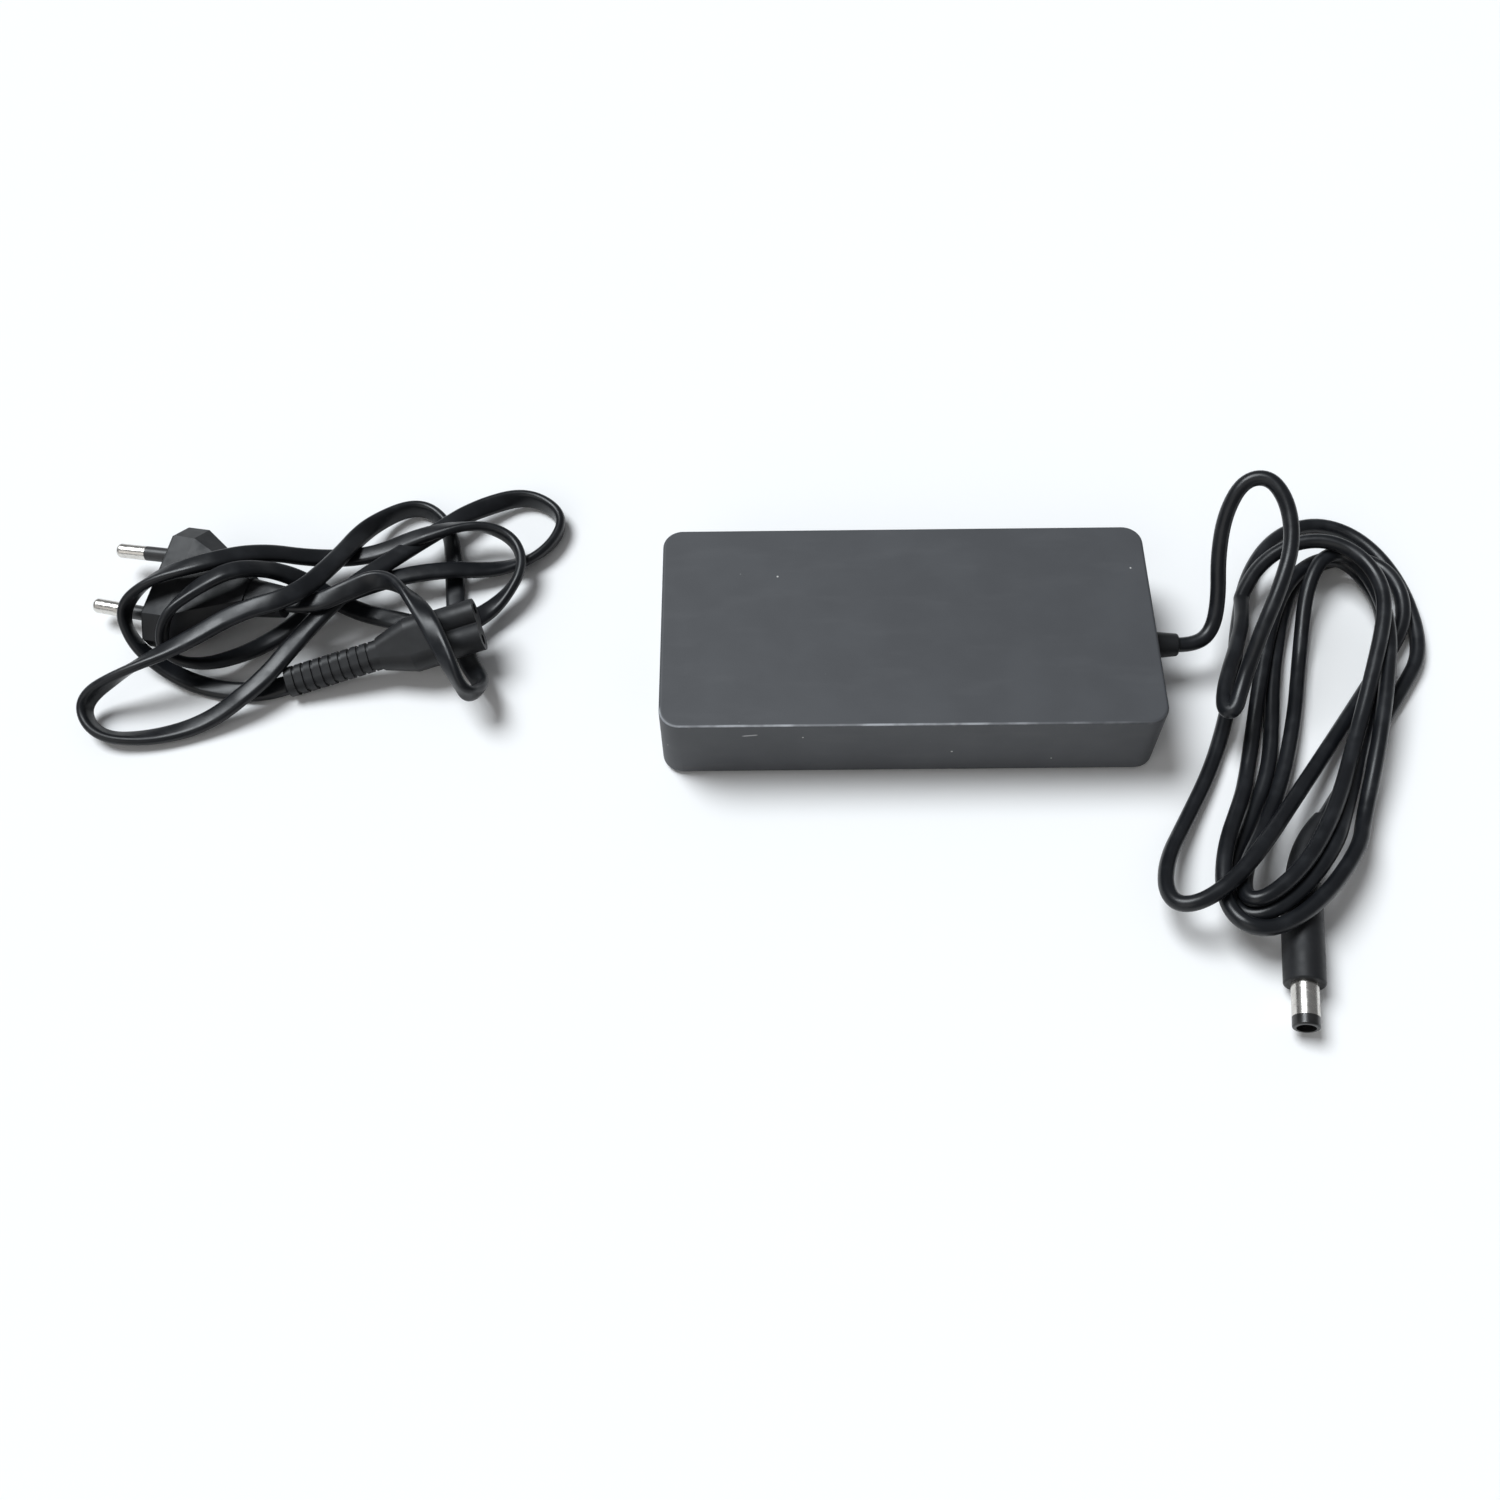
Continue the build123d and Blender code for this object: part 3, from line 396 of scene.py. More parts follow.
NODE_FINISHES: tuple[tuple[Finish, tuple[str, ...]], ...] = (
    (HOUSING, ("housing_shell",)),
    (Finish("base_plastic", "base_plastic", (0.032, 0.033, 0.036), (0.042, 0.043, 0.047), 0.58, 0.1,
            mottle_mm=14.0, grain_mm=0.5, grain_depth_mm=0.025), ("base_plate",)),
    (Finish("foot_rubber", "rubber", (0.014, 0.014, 0.014), (0.024, 0.024, 0.025), 0.8, mottle_mm=2.0,
            grain_mm=0.25, grain_depth_mm=0.03), ("rubber_feet",)),
    (Finish("label_film", "label", (0.05, 0.05, 0.055), (0.062, 0.062, 0.067), 0.4, mottle_mm=20.0),
     ("rating_label",)),
    (Finish("inlet_plastic", "inlet_plastic", (0.018, 0.018, 0.02), (0.026, 0.026, 0.029), 0.5),
     ("inlet_block",)),
    (GRIP, ("lead_relief", "barrel_plug_relief", "barrel_plug_body", "connector_body", "connector_relief",
            "mains_plug_body", "mains_plug_tail")),
    (PLATING, ("inlet_pins", "barrel_plug_barrel", "barrel_plug_centre_pin", "mains_plug_pins")),
    (TIP, ("barrel_plug_tip_ring",)),
    (SLEEVE, ("mains_plug_sleeves",)),
    (CONTACT, ("connector_contacts",)),
    (Finish("wire_red", "wire_insulation", (0.32, 0.02, 0.02), (0.24, 0.015, 0.015), 0.3),
     ("inlet_wires", "output_wires")),
    (Finish("fibre", "fibre_sheet", (0.55, 0.5, 0.4), (0.46, 0.41, 0.32), 0.75,
            grain_mm=0.2, grain_depth_mm=0.03), ("insulation_sheet",)),
    (Finish("board_mask", "board_laminate", (0.02, 0.14, 0.06), (0.03, 0.18, 0.08), 0.35, marks=Marks.TRACKS),
     ("circuit_board",)),
    (Finish("rolled_aluminium", "aluminium", (0.72, 0.72, 0.73), (0.62, 0.62, 0.64), 0.38, 0.15, 1.0,
            mottle_mm=4.0, marks=Marks.TURNED), ("heat_spreader", "primary_heat_sink", "secondary_heat_sink")),
    (Finish("fuse_ceramic", "ceramic", (0.75, 0.74, 0.7), (0.66, 0.64, 0.6), 0.25), ("fuse",)),
    (Finish("film_case", "film_box", (0.65, 0.48, 0.07), (0.55, 0.4, 0.05), 0.32),
     ("line_filter_capacitor",)),
    (Finish("disc_dip", "disc_coating", (0.04, 0.14, 0.5), (0.03, 0.1, 0.4), 0.28), ("safety_capacitors",)),
    (Finish("sintered_ferrite", "ferrite", (0.055, 0.055, 0.06), (0.08, 0.08, 0.085), 0.65, 0.2, 0.3,
            grain_mm=0.25, grain_depth_mm=0.03), ("line_choke_core", "transformer_core", "output_choke_core")),
    (Finish("copper_wire", "enamelled_copper", (0.62, 0.24, 0.08), (0.5, 0.17, 0.05), 0.28, 0.1, 0.9,
            marks=Marks.WOUND), ("line_choke_winding", "transformer_winding", "output_choke_winding")),
    (Finish("moulded_epoxy", "epoxy", (0.014, 0.014, 0.015), (0.022, 0.022, 0.023), 0.55),
     ("bridge_rectifier", "switching_transistor", "output_rectifier", "optocoupler", "controller_chip")),
    (Finish("shrink_sleeve", "can_sleeve", (0.02, 0.025, 0.05), (0.03, 0.035, 0.07), 0.25),
     ("bulk_capacitor", "output_capacitors")),
    (Finish("bobbin_moulding", "bobbin_plastic", (0.1, 0.1, 0.1), (0.13, 0.13, 0.13), 0.5),
     ("transformer_bobbin",)),
)


# ---------------------------------------------------------------------------------------- cord lines


def nurbs(name: str, points: np.ndarray, per_span: int = 8) -> bpy.types.Object:
    """A curve object of one open NURBS spline.

    Args:
        name: the object's name.
        points: control points in metres, one row each.
        per_span: how many steps the curve is drawn with between control points.

    Returns:
        The object, linked to the scene. The line starts and ends on the first and last points and is
        a chain of parabolas between the middles of the control runs.
    """
    data = bpy.data.curves.new(name, "CURVE")
    data.dimensions = "3D"
    spline = data.splines.new("NURBS")
    spline.points.add(len(points) - 1)
    spline.points.foreach_set("co", np.column_stack([points, np.ones(len(points))]).ravel())
    spline.order_u = 3
    spline.use_endpoint_u = True
    data.resolution_u = per_span
    made = bpy.data.objects.new(name, data)
    bpy.context.collection.objects.link(made)
    return made


def line_of(curve: bpy.types.Object) -> np.ndarray:
    """The points that a curve with no bevel is drawn through, in metres."""
    bpy.context.view_layer.update()
    evaluated = curve.evaluated_get(bpy.context.evaluated_depsgraph_get())
    mesh = bpy.data.meshes.new_from_object(evaluated)
    found = np.empty(len(mesh.vertices) * 3)
    mesh.vertices.foreach_get("co", found)
    bpy.data.meshes.remove(mesh)
    return found.reshape(-1, 3)


def span_weights(count: int, steps: int = 6) -> np.ndarray:
    """How much each control point counts at each step along the line.

    A row holds the three weights (1-t)^2 / 2, t(1-t) + 1/2 and t^2 / 2 of a parabola between two run
    middles, with the first and last parabola pulled on to the end points.
    """
    eye = np.eye(count)
    middles = (eye[:-1] + eye[1:]) / 2
    middles[0], middles[-1] = eye[0], eye[-1]
    t = np.linspace(0.0, 1.0, steps, endpoint=False)[None, :, None]
    rows = (1 - t) ** 2 * middles[:-1, None] + 2 * t * (1 - t) * eye[1:-1, None] + t ** 2 * middles[1:, None]
    return np.vstack([rows.reshape(-1, count), eye[-1:]])


def run_along(points: np.ndarray) -> np.ndarray:
    """Distance travelled at each point of a line."""
    return np.concatenate([[0.0], np.cumsum(np.linalg.norm(np.diff(points, axis=0), axis=1))])


def tube_mesh(name: str, rings: np.ndarray) -> bpy.types.Object:
    """A closed skin through rings of points.

    Args:
        name: the object's name.
        rings: an array of ring, point round the ring, and coordinate, going anticlockwise seen from the end.

    Returns:
        The object, with quads between neighbouring rings and a fan on a centre point at each end.
    """
    count, around, _ = rings.shape
    index = np.arange(count * around).reshape(count, around)
    across = np.roll(index, -1, axis=1)
    quads = np.stack([index[:-1], across[:-1], across[1:], index[1:]], axis=-1).reshape(-1, 4)
    first, last = count * around, count * around + 1
    start_fan = np.stack([np.full(around, first), across[0], index[0]], axis=-1)
    end_fan = np.stack([np.full(around, last), index[-1], across[-1]], axis=-1)
    points = np.vstack([rings.reshape(-1, 3), rings[0].mean(axis=0), rings[-1].mean(axis=0)])
    mesh = bpy.data.meshes.new(name)
    mesh.from_pydata(points.tolist(), [], quads.tolist() + start_fan.tolist() + end_fan.tolist())
    mesh.polygons.foreach_set("use_smooth", np.ones(len(mesh.polygons), bool))
    mesh.update()
    made = bpy.data.objects.new(name, mesh)
    bpy.context.collection.objects.link(made)
    return made


def dress(piece: bpy.types.Object, material: bpy.types.Material) -> None:
    """Gives a piece its material."""
    piece.data.materials.clear()
    piece.data.materials.append(material)


# ---------------------------------------------------------------------------------------- low-voltage lead


@dataclass(frozen=True)
class Bend:
    """One end of a loose turn: half an ellipse about a centre, in millimetres and degrees."""

    x: float
    y: float
    width: float
    reach: float
    lean: float

    def axes(self) -> tuple[np.ndarray, np.ndarray]:
        """The directions along and across the turn; lean is measured from +Y towards +X."""
        angle = math.radians(self.lean)
        return np.array([math.sin(angle), math.cos(angle)]), np.array([math.cos(angle), -math.sin(angle)])

    def points(self, side: int, stations: int = 7) -> np.ndarray:
        """Points round the bend: centre + side * (width * sin(a) across + reach * cos(a) along)."""
        along, across = self.axes()
        a = np.radians(np.linspace(-90.0, 90.0, stations))[:, None]
        half_turn = self.width * np.sin(a) * across + self.reach * np.cos(a) * along
        return np.array([self.x, self.y]) + side * half_turn


@dataclass
class LowVoltageLead:
    """The round captive lead: an arch out of the brick, four and a half loose turns, and its plug.

    The bends and pulls weren't chosen by hand: a solver fitted them to a line traced over the picture. The lead
    counts as touching itself or the plug within its radius plus clearance. A strand is lifted only by one that
    was laid at least apart_diameters earlier along the lead, and the last plug_run, which enters the plug, isn't
    lifted over it.
    """

    diameter: float = 4.0
    arch: Sequence[Point] = (
        (71.5, 0.0, 12.0), (76.5, 0.0, 12.0), (80.8, 3.4, 13.8), (82.2, 10.0, 18.5), (81.4, 18.0, 26.5),
        (82.4, 25.5, 34.5), (86.6, 31.5, 40.5), (92.8, 31.0, 42.5), (96.8, 24.0, 40.5), (97.4, 14.0, 36.5),
        (93.8, 4.2, 32.0), (89.4, -4.6, 26.5), (86.4, -11.5, 20.0),
    )
    doubling_back: Sequence[Point] = (
        (84.2, -17.0, 17.0), (82.0, -23.0, 15.5), (79.8, -21.6, 14.2), (81.0, -15.5, 13.2), (83.4, -8.9, 12.2),
        (86.6, -1.6, 11.2),
    )
    bends: Sequence[Bend] = (
        Bend(109.8, 13.6, 18.1, 20.3, 19), Bend(91.4, -56.8, 6.3, 22.3, 37), Bend(118.3, 6.8, 10.6, 24.9, 4),
        Bend(95.9, -50.5, 15.0, 36.7, 33), Bend(113.8, 6.7, 15.0, 27.0, 18), Bend(93.5, -53.5, 10.0, 28.6, 34),
        Bend(120.8, 15.6, 15.6, 20.1, 23), Bend(75.9, -54.4, 9.5, 25.8, 36), Bend(115.6, 7.2, 24.7, 41.2, 7),
    )
    pulls: Sequence[tuple[float, float]] = (
        (2.00, 0.10), (0.89, 0.72), (0.95, 0.10), (0.47, 0.15), (0.40, 1.60),
        (0.41, 0.33), (1.07, 1.51), (0.10, 0.12), (1.24, 0.34), (0.10, 0.12),
    )
    plug_back: tuple[float, float] = (93.8, -66.5)
    plug_heading: tuple[float, float] = (-0.14263, -0.98978)
    relief_length: float = 20.0
    relief_bend: float = 36.0
    relief_radius: float = 3.8
    relief_taper: float = 1.2
    plug_axis: float = 5.4
    plug_body_radius: float = 5.0
    plug_body_end: float = 27.0
    plug_barrel_radius: float = 3.25
    plug_span: tuple[float, float] = (1.0, 37.0)
    plug_run: float = 40.0
    clearance: float = 0.05
    apart_diameters: float = 6.0
    steepest: float = 0.33
    felt_weight: float = 0.12
    passes: int = 60
    share_raised: float = 0.6
    close_enough: float = 0.02
    thrown_foot: int = 7
    thrown_length: float = 50.0
    length: float = 1378.0

    def plan(self) -> np.ndarray:
        """The loose turns seen from above.

        Each run between two bends is a cubic that leaves one bend and enters the next along their own
        directions; pulls say how far each end holds its direction, in run lengths.

        Returns:
            Control points from the doubling back to the plug, x and y in millimetres.
        """
        here = np.array([p[:2] for p in self.doubling_back[-2:]])
        start, heading = here[1], (here[1] - here[0]) / np.linalg.norm(here[1] - here[0])
        rows = []
        for number, bend in enumerate(self.bends):
            side = 1 if number % 2 == 0 else -1
            entry = side * bend.axes()[0]
            round_bend = bend.points(side)
            pull = self.pulls[number]
            rows += [self.run(start, heading, round_bend[0], entry, pull, (0.25, 0.5, 0.75)), round_bend]
            start, heading = round_bend[-1], -entry
        end, into = self.relief_line(np.array([1.0]))[0], self.relief_entry()
        rows += [self.run(start, heading, end, into, self.pulls[-1], (0.3, 0.6, 0.85)), end[None]]
        return np.vstack(rows)

    @staticmethod
    def run(
        start: np.ndarray, heading: np.ndarray, end: np.ndarray, entry: np.ndarray,
        pull: tuple[float, float], where: Sequence[float],
    ) -> np.ndarray:
        """Points at fractions of a Hermite cubic from start to end."""
        f = np.array(where)[:, None]
        reach = np.linalg.norm(end - start)
        return (
            (2 * f ** 3 - 3 * f ** 2 + 1) * start + (f ** 3 - 2 * f ** 2 + f) * heading * reach * pull[0]
            + (3 * f ** 2 - 2 * f ** 3) * end + (f ** 3 - f ** 2) * entry * reach * pull[1]
        )

    def settle(self, plan: np.ndarray, held: dict[int, float]) -> np.ndarray:
        """Heights at which the turns rest on the floor, the plug and each other.

        The plug end was laid first, apart from one stretch that was thrown back over the turns and lies on
        all that it crosses. Wherever a strand passes within a diameter of one laid earlier, its centre is
        higher by sqrt(diameter^2 - distance^2), and a strand climbs to such a crossing no steeper than the
        steepest slope. Low heights that satisfy both are found by raising the control points that are felt
        at a crossing until close_enough or less is lacking, or the passes run out.

        Args:
            plan: control points of the whole lead, x and y in millimetres, brick end first.
            held: heights that are already settled, by control point.

        Returns:
            A height in millimetres for each control point.
        """
        weights = span_weights(len(plan))
        line = weights @ plan
        along, control_along = run_along(line), run_along(plan)
        gap = np.linalg.norm(line[:, None] - line[None], axis=2)
        spaced = self.diameter + self.clearance
        later = along[None] - along[:, None] > self.apart_diameters * self.diameter
        upper, lower = np.where((gap < spaced) & later)
        crossing = self.crosses_over(line, along)
        swapped = crossing[lower] & ~crossing[upper]
        upper, lower = np.where(swapped, lower, upper), np.where(swapped, upper, lower)
        lift = np.sqrt(spaced ** 2 - gap[upper, lower] ** 2)
        height = np.full(len(plan), self.diameter / 2)
        fixed, level = np.array(list(held)), np.array(list(held.values()))
        height[fixed] = level
        fall = self.steepest * np.abs(control_along[:, None] - control_along[None])
        ground = np.maximum(self.over_plug(line, along), self.diameter / 2)
        felt = weights > self.felt_weight
        for _ in range(self.passes):
            level_line = weights @ height
            wanted = ground.copy()
            np.maximum.at(wanted, upper, level_line[lower] + lift)
            lack = np.maximum(wanted - level_line, 0.0)
            if lack.max() < self.close_enough:
                break
            height += self.share_raised * np.where(felt, lack[:, None], 0.0).max(axis=0)
            loose = height.copy()
            loose[fixed[:-2]] = 0.0
            height = np.maximum(height, (loose[None] - fall).max(axis=1))
            height[fixed] = level
        return height

    def crosses_over(self, line: np.ndarray, along: np.ndarray) -> np.ndarray:
        """Where the lead was thrown back over the turns: a stretch that comes down into one wide foot."""
        foot = self.bends[self.thrown_foot]
        tip = np.array([foot.x, foot.y]) - foot.reach * foot.axes()[0]
        before = along[np.linalg.norm(line - tip, axis=1).argmin()] - along
        return (before > 0.0) & (before < self.thrown_length)

    def relief_line(self, share: np.ndarray) -> np.ndarray:
        """Points along the plug's bent relief, an arc from the plug's back at 0 to the lead at 1."""
        ahead = np.array(self.plug_heading)
        aside = np.array([-ahead[1], ahead[0]])
        bend = math.radians(self.relief_bend)
        radius, angle = self.relief_length / bend, share[:, None] * bend
        back = np.array(self.plug_back)
        return back - radius * np.sin(angle) * ahead + radius * (1 - np.cos(angle)) * aside

    def relief_entry(self) -> np.ndarray:
        """The direction in which the lead enters the relief."""
        ahead = np.array(self.plug_heading)
        bend = math.radians(self.relief_bend)
        return math.cos(bend) * ahead - math.sin(bend) * np.array([-ahead[1], ahead[0]])

    def over_plug(self, line: np.ndarray, along: np.ndarray) -> np.ndarray:
        """Least height over the plug, taken as a row of balls along its relief, body and barrel.

        Over a ball it is the plug's axis plus sqrt((ball radius + cord radius)^2 - distance^2).
        """
        share, reach = np.linspace(0.0, 1.0, 8), np.linspace(*self.plug_span, 16)
        straight = np.array(self.plug_back) + reach[:, None] * np.array(self.plug_heading)
        centres = np.vstack([self.relief_line(share), straight])
        straight_radii = np.where(reach < self.plug_body_end, self.plug_body_radius, self.plug_barrel_radius)
        radii = np.concatenate([self.relief_radius - self.relief_taper * share, straight_radii])
        radii = radii + self.diameter / 2 + self.clearance
        gap = np.linalg.norm(line[:, None] - centres[None], axis=2)
        height = np.where(gap < radii, self.plug_axis + np.sqrt(np.maximum(radii ** 2 - gap ** 2, 0.0)), 0.0)
        return height.max(axis=1) * (along < along[-1] - self.plug_run)

    def route(self) -> np.ndarray:
        """All the lead's control points, in metres."""
        given = np.array([*self.arch, *self.doubling_back])
        plan = np.vstack([given[:, :2], self.plan()])
        held = {number: float(z) for number, z in enumerate(given[:, 2])}
        held[len(plan) - 1] = self.plug_axis
        return np.column_stack([plan, self.settle(plan, held)]) * MM

    def build(self) -> bpy.types.Object:
        """Returns:
            The lead.
        """
        lead = nurbs("low_voltage_lead", self.route())
        lead.data.bevel_depth = self.diameter / 2 * MM
        lead.data.bevel_resolution = 6
        lead.data.use_fill_caps = True
        dress(lead, MATERIALS[JACKET.name])
        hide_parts("lead_arch", "lead_bundle")
        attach(lead, "brick")
        LOG.info("low-voltage lead: %d control points", len(lead.data.splines[0].points))
        return lead


# ---------------------------------------------------------------------------------------- mains lead


@dataclass
class MainsLead:
    """The flat two-core lead between the figure-8 connector and the two-pin plug.

    The route was traced over the picture.
    """

    width: float = 5.4
    thickness: float = 2.7
    turning_radius: float = 20.0
    smoothing: float = 9.0
    on_edge_height: float = 2.8
    settling_fade: float = 3.0
    grip_reach: float = 9.0
    grip_strength: float = 12.0
    length: float = 840.0
    start_thin: Point = (-0.16, -0.40, 0.90)
    end_thin: Point = (-0.02, -0.17, 0.98)
    route: Sequence[Point] = (
        (-164.02, -3.77, 3.78), (-171.03, -5.4, 2.53), (-183.9, -4.6, 2.6), (-196.6, 0.6, 3.0),
        (-206.5, 7.0, 6.0), (-209.8, 14.5, 12.5), (-200.8, 20.0, 18.8), (-186.5, 22.8, 21.8),
        (-173.6, 30.4, 16.8), (-161.0, 34.9, 7.0), (-145.9, 36.2, 6.0), (-130.7, 40.5, 10.8),
        (-116.5, 44.5, 10.0), (-106.0, 40.9, 7.6), (-102.9, 30.5, 6.8), (-109.9, 20.1, 4.6), (-121.7, 9.9, 6.2),
        (-136.0, 15.1, 5.0), (-152.3, 21.7, 3.0), (-166.0, 27.2, 11.2), (-176.6, 21.2, 22.2),
        (-187.0, 15.6, 20.6), (-195.8, 8.2, 17.6), (-196.6, 0.8, 9.0), (-183.8, -0.3, 6.8), (-171.3, 9.9, 3.4),
        (-157.2, 20.0, 6.8), (-142.2, 26.6, 7.6), (-127.6, 30.7, 7.0), (-110.3, 33.4, 3.6), (-97.4, 39.9, 3.0),
        (-92.8, 51.9, 3.0), (-103.9, 60.3, 3.2), (-117.6, 54.4, 5.0), (-128.2, 44.3, 6.9), (-138.6, 33.0, 9.6),
        (-150.4, 20.8, 11.4), (-161.1, 7.0, 9.5), (-169.9, -5.9, 7.4), (-183.2, -15.1, 3.6),
        (-198.4, -19.8, 3.0), (-212.8, -19.6, 3.0), (-218.4, -10.0, 5.0), (-204.6, -5.0, 12.5),
        (-189.2, 1.4, 15.5), (-175.0, 9.6, 18.4), (-160.9, 13.8, 18.6), (-153.7, 29.7, 12.6),
        (-148.2, 48.4, 5.0), (-135.3, 57.6, 3.0), (-125.9, 49.4, 2.8), (-123.3, 33.6, 2.8), (-121.6, 18.3, 2.8),
        (-117.7, 4.4, 2.8), (-110.6, -7.5, 6.0), (-114.4, -14.6, 13.0), (-119.3, -5.6, 18.4),
        (-127.2, 9.6, 20.6), (-138.2, 21.8, 17.0), (-149.1, 17.6, 15.4), (-158.02, 14.53, 13.14),
        (-165.26, 16.34, 12.36),
    )

    def thin_direction(self, line: np.ndarray) -> np.ndarray:
        """Which way the lead's thin side faces at each point of its line.

        The lead lies flat where it runs straight and turns on edge where it bends, because it only bends
        across its thin side. Each point gets the tensor up up' + (radius * curvature)^2 bend bend', the
        tensors are averaged along the lead with a bell-shaped weight, the thin direction is the
        eigenvector with the largest eigenvalue, and its roll round the lead is averaged the same way,
        so that the twist is spread out. The connector and the plug hold the two ends.

        Args:
            line: points along the lead in metres.

        Returns:
            A unit vector for each point, square to the lead.
        """
        along = run_along(line) / MM
        tangent = np.gradient(line / MM, along, axis=0)
        tangent /= np.linalg.norm(tangent, axis=1)[:, None]
        curl = np.gradient(tangent, along, axis=0)
        up = np.array([0.0, 0.0, 1.0]) - tangent[:, 2:] * tangent
        pull = curl * self.turning_radius
        tensor = up[:, :, None] * up[:, None] + pull[:, :, None] * pull[:, None]
        for held, at in ((self.start_thin, 0.0), (self.end_thin, along[-1])):
            grip = np.exp(-((along - at) / self.grip_reach) ** 2)[:, None, None]
            tensor = tensor + self.grip_strength * grip * np.outer(held, held)
        bell = np.exp(-0.5 * ((along[:, None] - along[None]) / self.smoothing) ** 2)
        bell /= bell.sum(axis=1)[:, None]
        tensor = np.einsum("ij,jkl->ikl", bell, tensor)
        thin = np.linalg.eigh(tensor)[1][:, :, -1]
        up /= np.linalg.norm(up, axis=1)[:, None]
        beside = np.cross(tangent, up)
        roll = np.arctan2(np.sum(thin * beside, axis=1), np.sum(thin * up, axis=1))
        roll = bell @ np.unwrap(roll, period=math.pi)
        return np.cos(roll)[:, None] * up + np.sin(roll)[:, None] * beside

    def rings(self, line: np.ndarray, thin: np.ndarray, around: int = 28) -> np.ndarray:
        """Rings of a flat section with round edges: (x/a)^4 + (y/b)^2 = 1, carried square to the line."""
        tangent = np.gradient(line, axis=0)
        tangent /= np.linalg.norm(tangent, axis=1)[:, None]
        wide = np.cross(thin, tangent)
        a = np.linspace(0.0, 2 * math.pi, around, endpoint=False)
        x = self.width / 2 * np.sign(np.cos(a)) * np.abs(np.cos(a)) ** 0.5
        y = self.thickness / 2 * np.sin(a)
        return line[:, None] + (x[None, :, None] * wide[:, None] + y[None, :, None] * thin[:, None]) * MM

    def build(self) -> bpy.types.Object:
        """Returns:
            The lead.
        """
        guide = nurbs("mains_lead_line", np.array(self.route) * MM, 12)
        line = line_of(guide)
        bpy.data.objects.remove(guide)
        thin = self.thin_direction(line)
        upright = np.sqrt(np.clip(1 - thin[:, 2] ** 2, 0, 1))
        standing = np.hypot(self.width / 2 * upright, self.thickness / 2 * thin[:, 2])
        spare = np.maximum(self.on_edge_height - standing, 0.0)
        raised = (line[:, 2] / MM - self.on_edge_height) / self.settling_fade
        line[:, 2] -= spare * np.clip(1.0 - raised, 0.0, 1.0) * MM
        line[:, 2] = np.maximum(line[:, 2], standing * MM)
        lead = tube_mesh("flat_mains_lead", self.rings(line, thin))
        dress(lead, MATERIALS[FLAT_JACKET.name])
        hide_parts("mains_lead")
        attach(lead, "mains_lead_set")
        LOG.info("mains lead: %d points, %.0f mm", len(line), run_along(line)[-1] / MM)
        return lead


# ---------------------------------------------------------------------------------------- studio


@dataclass(frozen=True)
class Lamp:
    """A broad distant lamp: where it shines from, its strength, its spread in degrees and its tint."""

    name: str
    origin: Point
    strength: float
    spread: float
    tint: Colour


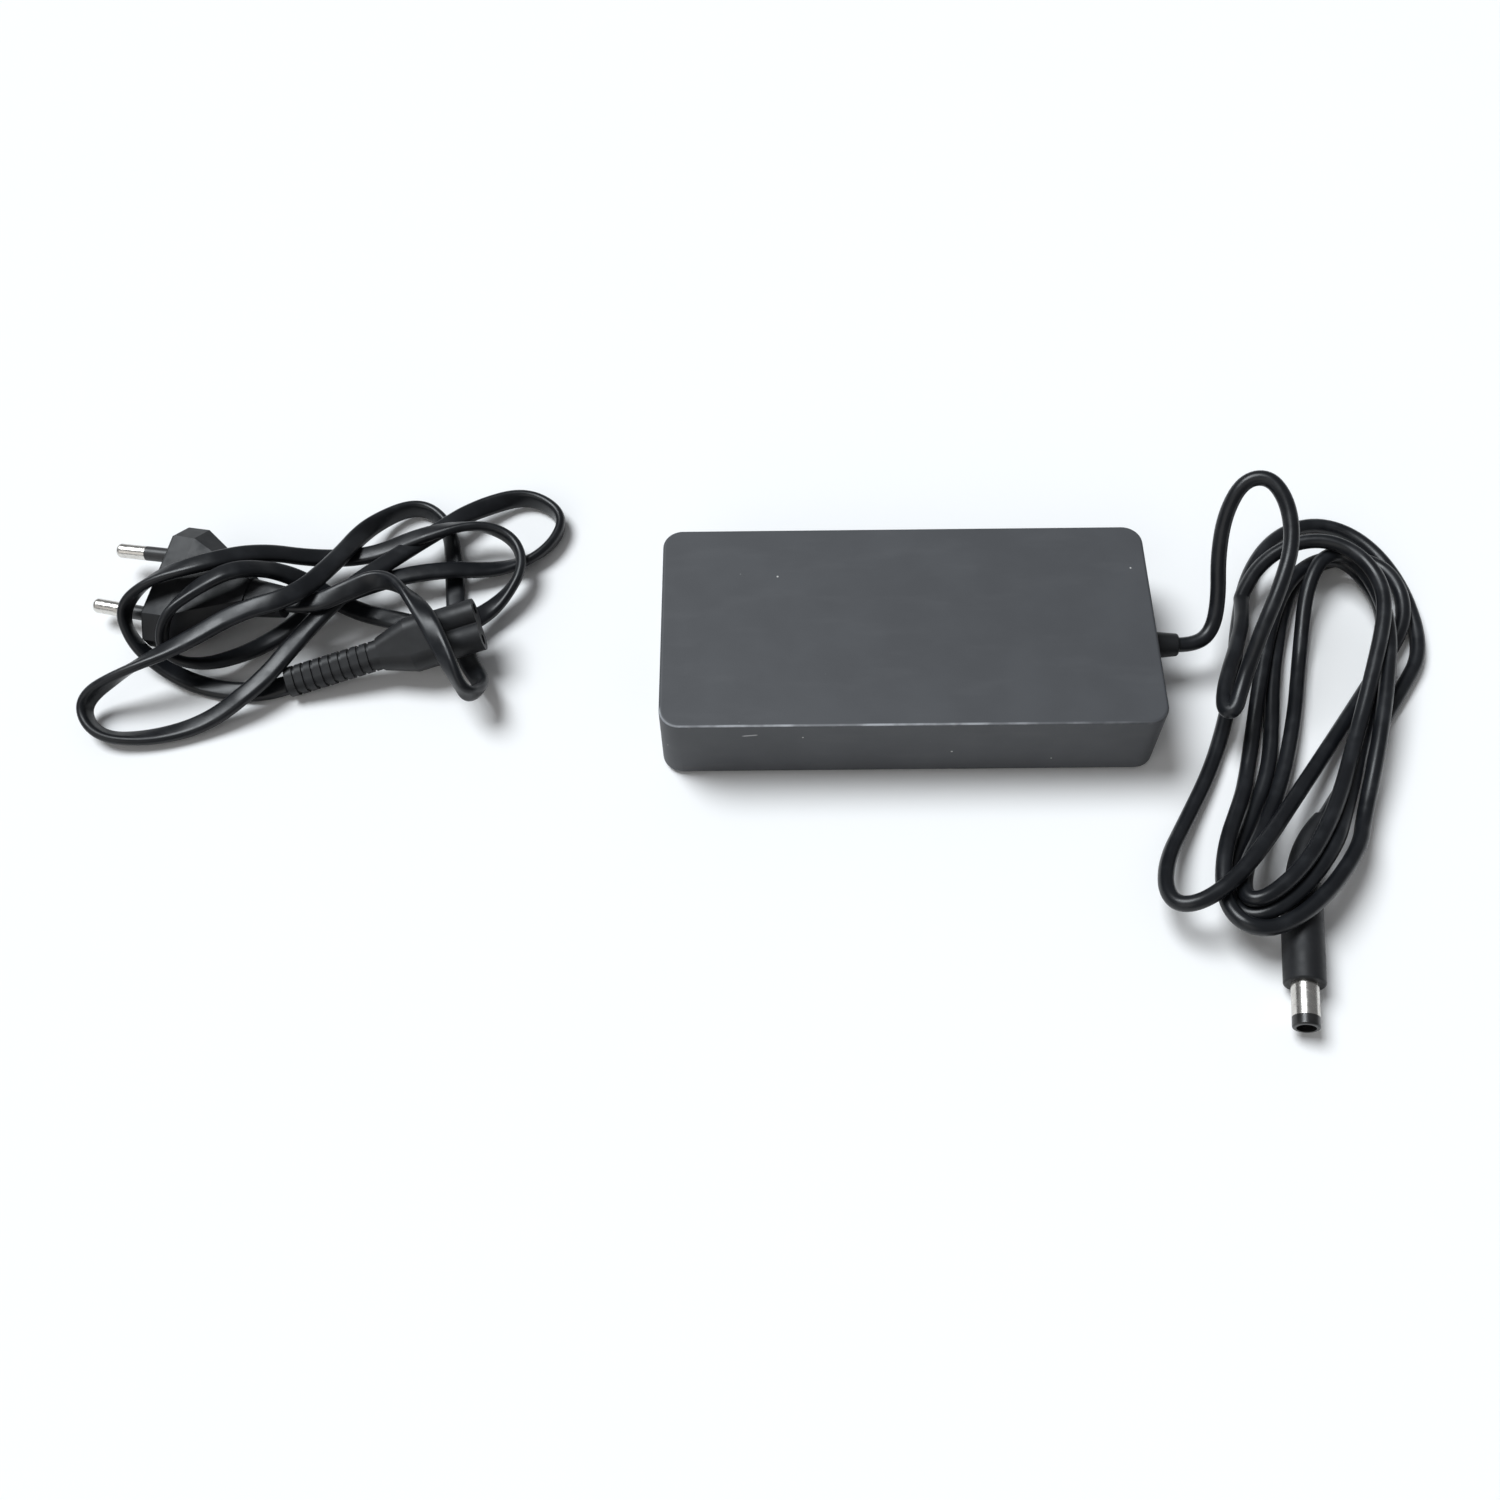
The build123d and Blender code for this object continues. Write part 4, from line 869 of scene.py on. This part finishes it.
@dataclass
class Studio:
    """A plain pale floor, soft light and the camera, which was fitted to the brick's edges in the picture."""

    camera_place: Point = (-37.56, -233.34, 357.42)
    pitch: float = 59.61
    yaw: float = 0.92
    roll: float = -1.33
    lens: float = 37.95
    sensor: float = 36.0
    nearest: float = 0.01
    floor_size: float = 6.0
    floor_drop: float = 0.0002
    floor_colour: Colour = (0.88, 0.88, 0.88)
    lamps: Sequence[Lamp] = (
        Lamp("overhead", (-0.5, 0.28, 1.0), 3.35, 30.0, (0.92, 0.965, 1.0)),
        Lamp("front_fill", (-0.7, -1.0, 0.8), 0.5, 50.0, (1.0, 0.98, 0.95)),
    )
    surround: float = 0.2
    surround_colour: tuple[float, float, float, float] = (0.95, 0.97, 1.0, 1.0)

    def camera(self) -> None:
        """Places the camera: pitch is below the horizon, yaw to the right, roll anticlockwise."""
        yaw, pitch, roll = (math.radians(a) for a in (self.yaw, self.pitch, self.roll))
        ahead = np.array([-math.sin(yaw) * math.cos(pitch), math.cos(yaw) * math.cos(pitch), -math.sin(pitch)])
        right = np.array([math.cos(yaw), math.sin(yaw), 0.0])
        above = np.cross(right, ahead)
        turned_right = right * math.cos(roll) + above * math.sin(roll)
        turned_up = above * math.cos(roll) - right * math.sin(roll)
        data = bpy.data.cameras.new("camera")
        data.lens, data.sensor_width, data.clip_start = self.lens, self.sensor, self.nearest
        made = bpy.data.objects.new("camera", data)
        bpy.context.collection.objects.link(made)
        turn_matrix = np.column_stack([turned_right, turned_up, -ahead])
        place = Matrix.Translation([c * MM for c in self.camera_place])
        made.matrix_world = place @ Matrix(turn_matrix.tolist()).to_4x4()
        bpy.context.scene.camera = made

    def floor(self) -> None:
        """A flat sheet of plain paper just under the object."""
        half = self.floor_size / 2
        mesh = bpy.data.meshes.new("floor")
        corners = [(-half, -half, 0), (half, -half, 0), (half, half, 0), (-half, half, 0)]
        mesh.from_pydata(corners, [], [(0, 1, 2, 3)])
        made = bpy.data.objects.new("floor", mesh)
        bpy.context.collection.objects.link(made)
        made.location.z = -self.floor_drop
        shader = Shader("floor_paper")
        darker = tuple(c * 0.985 for c in self.floor_colour)
        colour = shader.blend(shader.noise(60.0, 2.0), self.floor_colour, darker)
        mesh.materials.append(shader.close({"Base Color": colour, "Roughness": 0.9, "Specular IOR Level": 0.2}))

    def light(self) -> None:
        """Broad soft lamps under a dim even surround."""
        for lamp in self.lamps:
            data = bpy.data.lights.new(lamp.name, "SUN")
            data.energy, data.angle, data.color = lamp.strength, math.radians(lamp.spread), lamp.tint
            made = bpy.data.objects.new(lamp.name, data)
            bpy.context.collection.objects.link(made)
            made.rotation_euler = Matrix(frame_towards(np.array(lamp.origin)).tolist()).to_euler()
        world = bpy.data.worlds.new("surround")
        world.use_nodes = True
        background = world.node_tree.nodes["Background"]
        background.inputs[0].default_value = self.surround_colour
        background.inputs[1].default_value = self.surround
        bpy.context.scene.world = world
        bpy.context.scene.view_settings.view_transform = "Standard"

    def build(self) -> None:
        """Sets up the camera, the floor and the light."""
        self.camera()
        self.floor()
        self.light()
        LOG.info("studio ready")


def frame_towards(back: np.ndarray) -> np.ndarray:
    """A rotation whose third column points along back."""
    third = back / np.linalg.norm(back)
    first = np.cross([0.0, 1.0, 0.0], third)
    first /= np.linalg.norm(first)
    return np.column_stack([first, np.cross(third, first), third])


# ---------------------------------------------------------------------------------------- assembly


MATERIALS: dict[str, bpy.types.Material] = {}


def dress_nodes() -> None:
    """Gives every rigid piece carried over from the solid model its finish."""
    for finish, names in NODE_FINISHES:
        MATERIALS[finish.name] = finish.material()
        for name in names:
            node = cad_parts[name]
            node.data.materials.clear()
            node.data.materials.append(MATERIALS[finish.name])
            LOG.info("%s: %s", name, finish.name)
    for finish in (JACKET, FLAT_JACKET):
        MATERIALS[finish.name] = finish.material()


def main() -> None:
    """Builds the adapter's camera, leads and finishes in order."""
    logging.basicConfig(level=logging.INFO, format="%(message)s")
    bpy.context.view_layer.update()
    Studio().build()
    dress_nodes()
    LowVoltageLead().build()
    MainsLead().build()


if __name__ == "__main__":
    main()
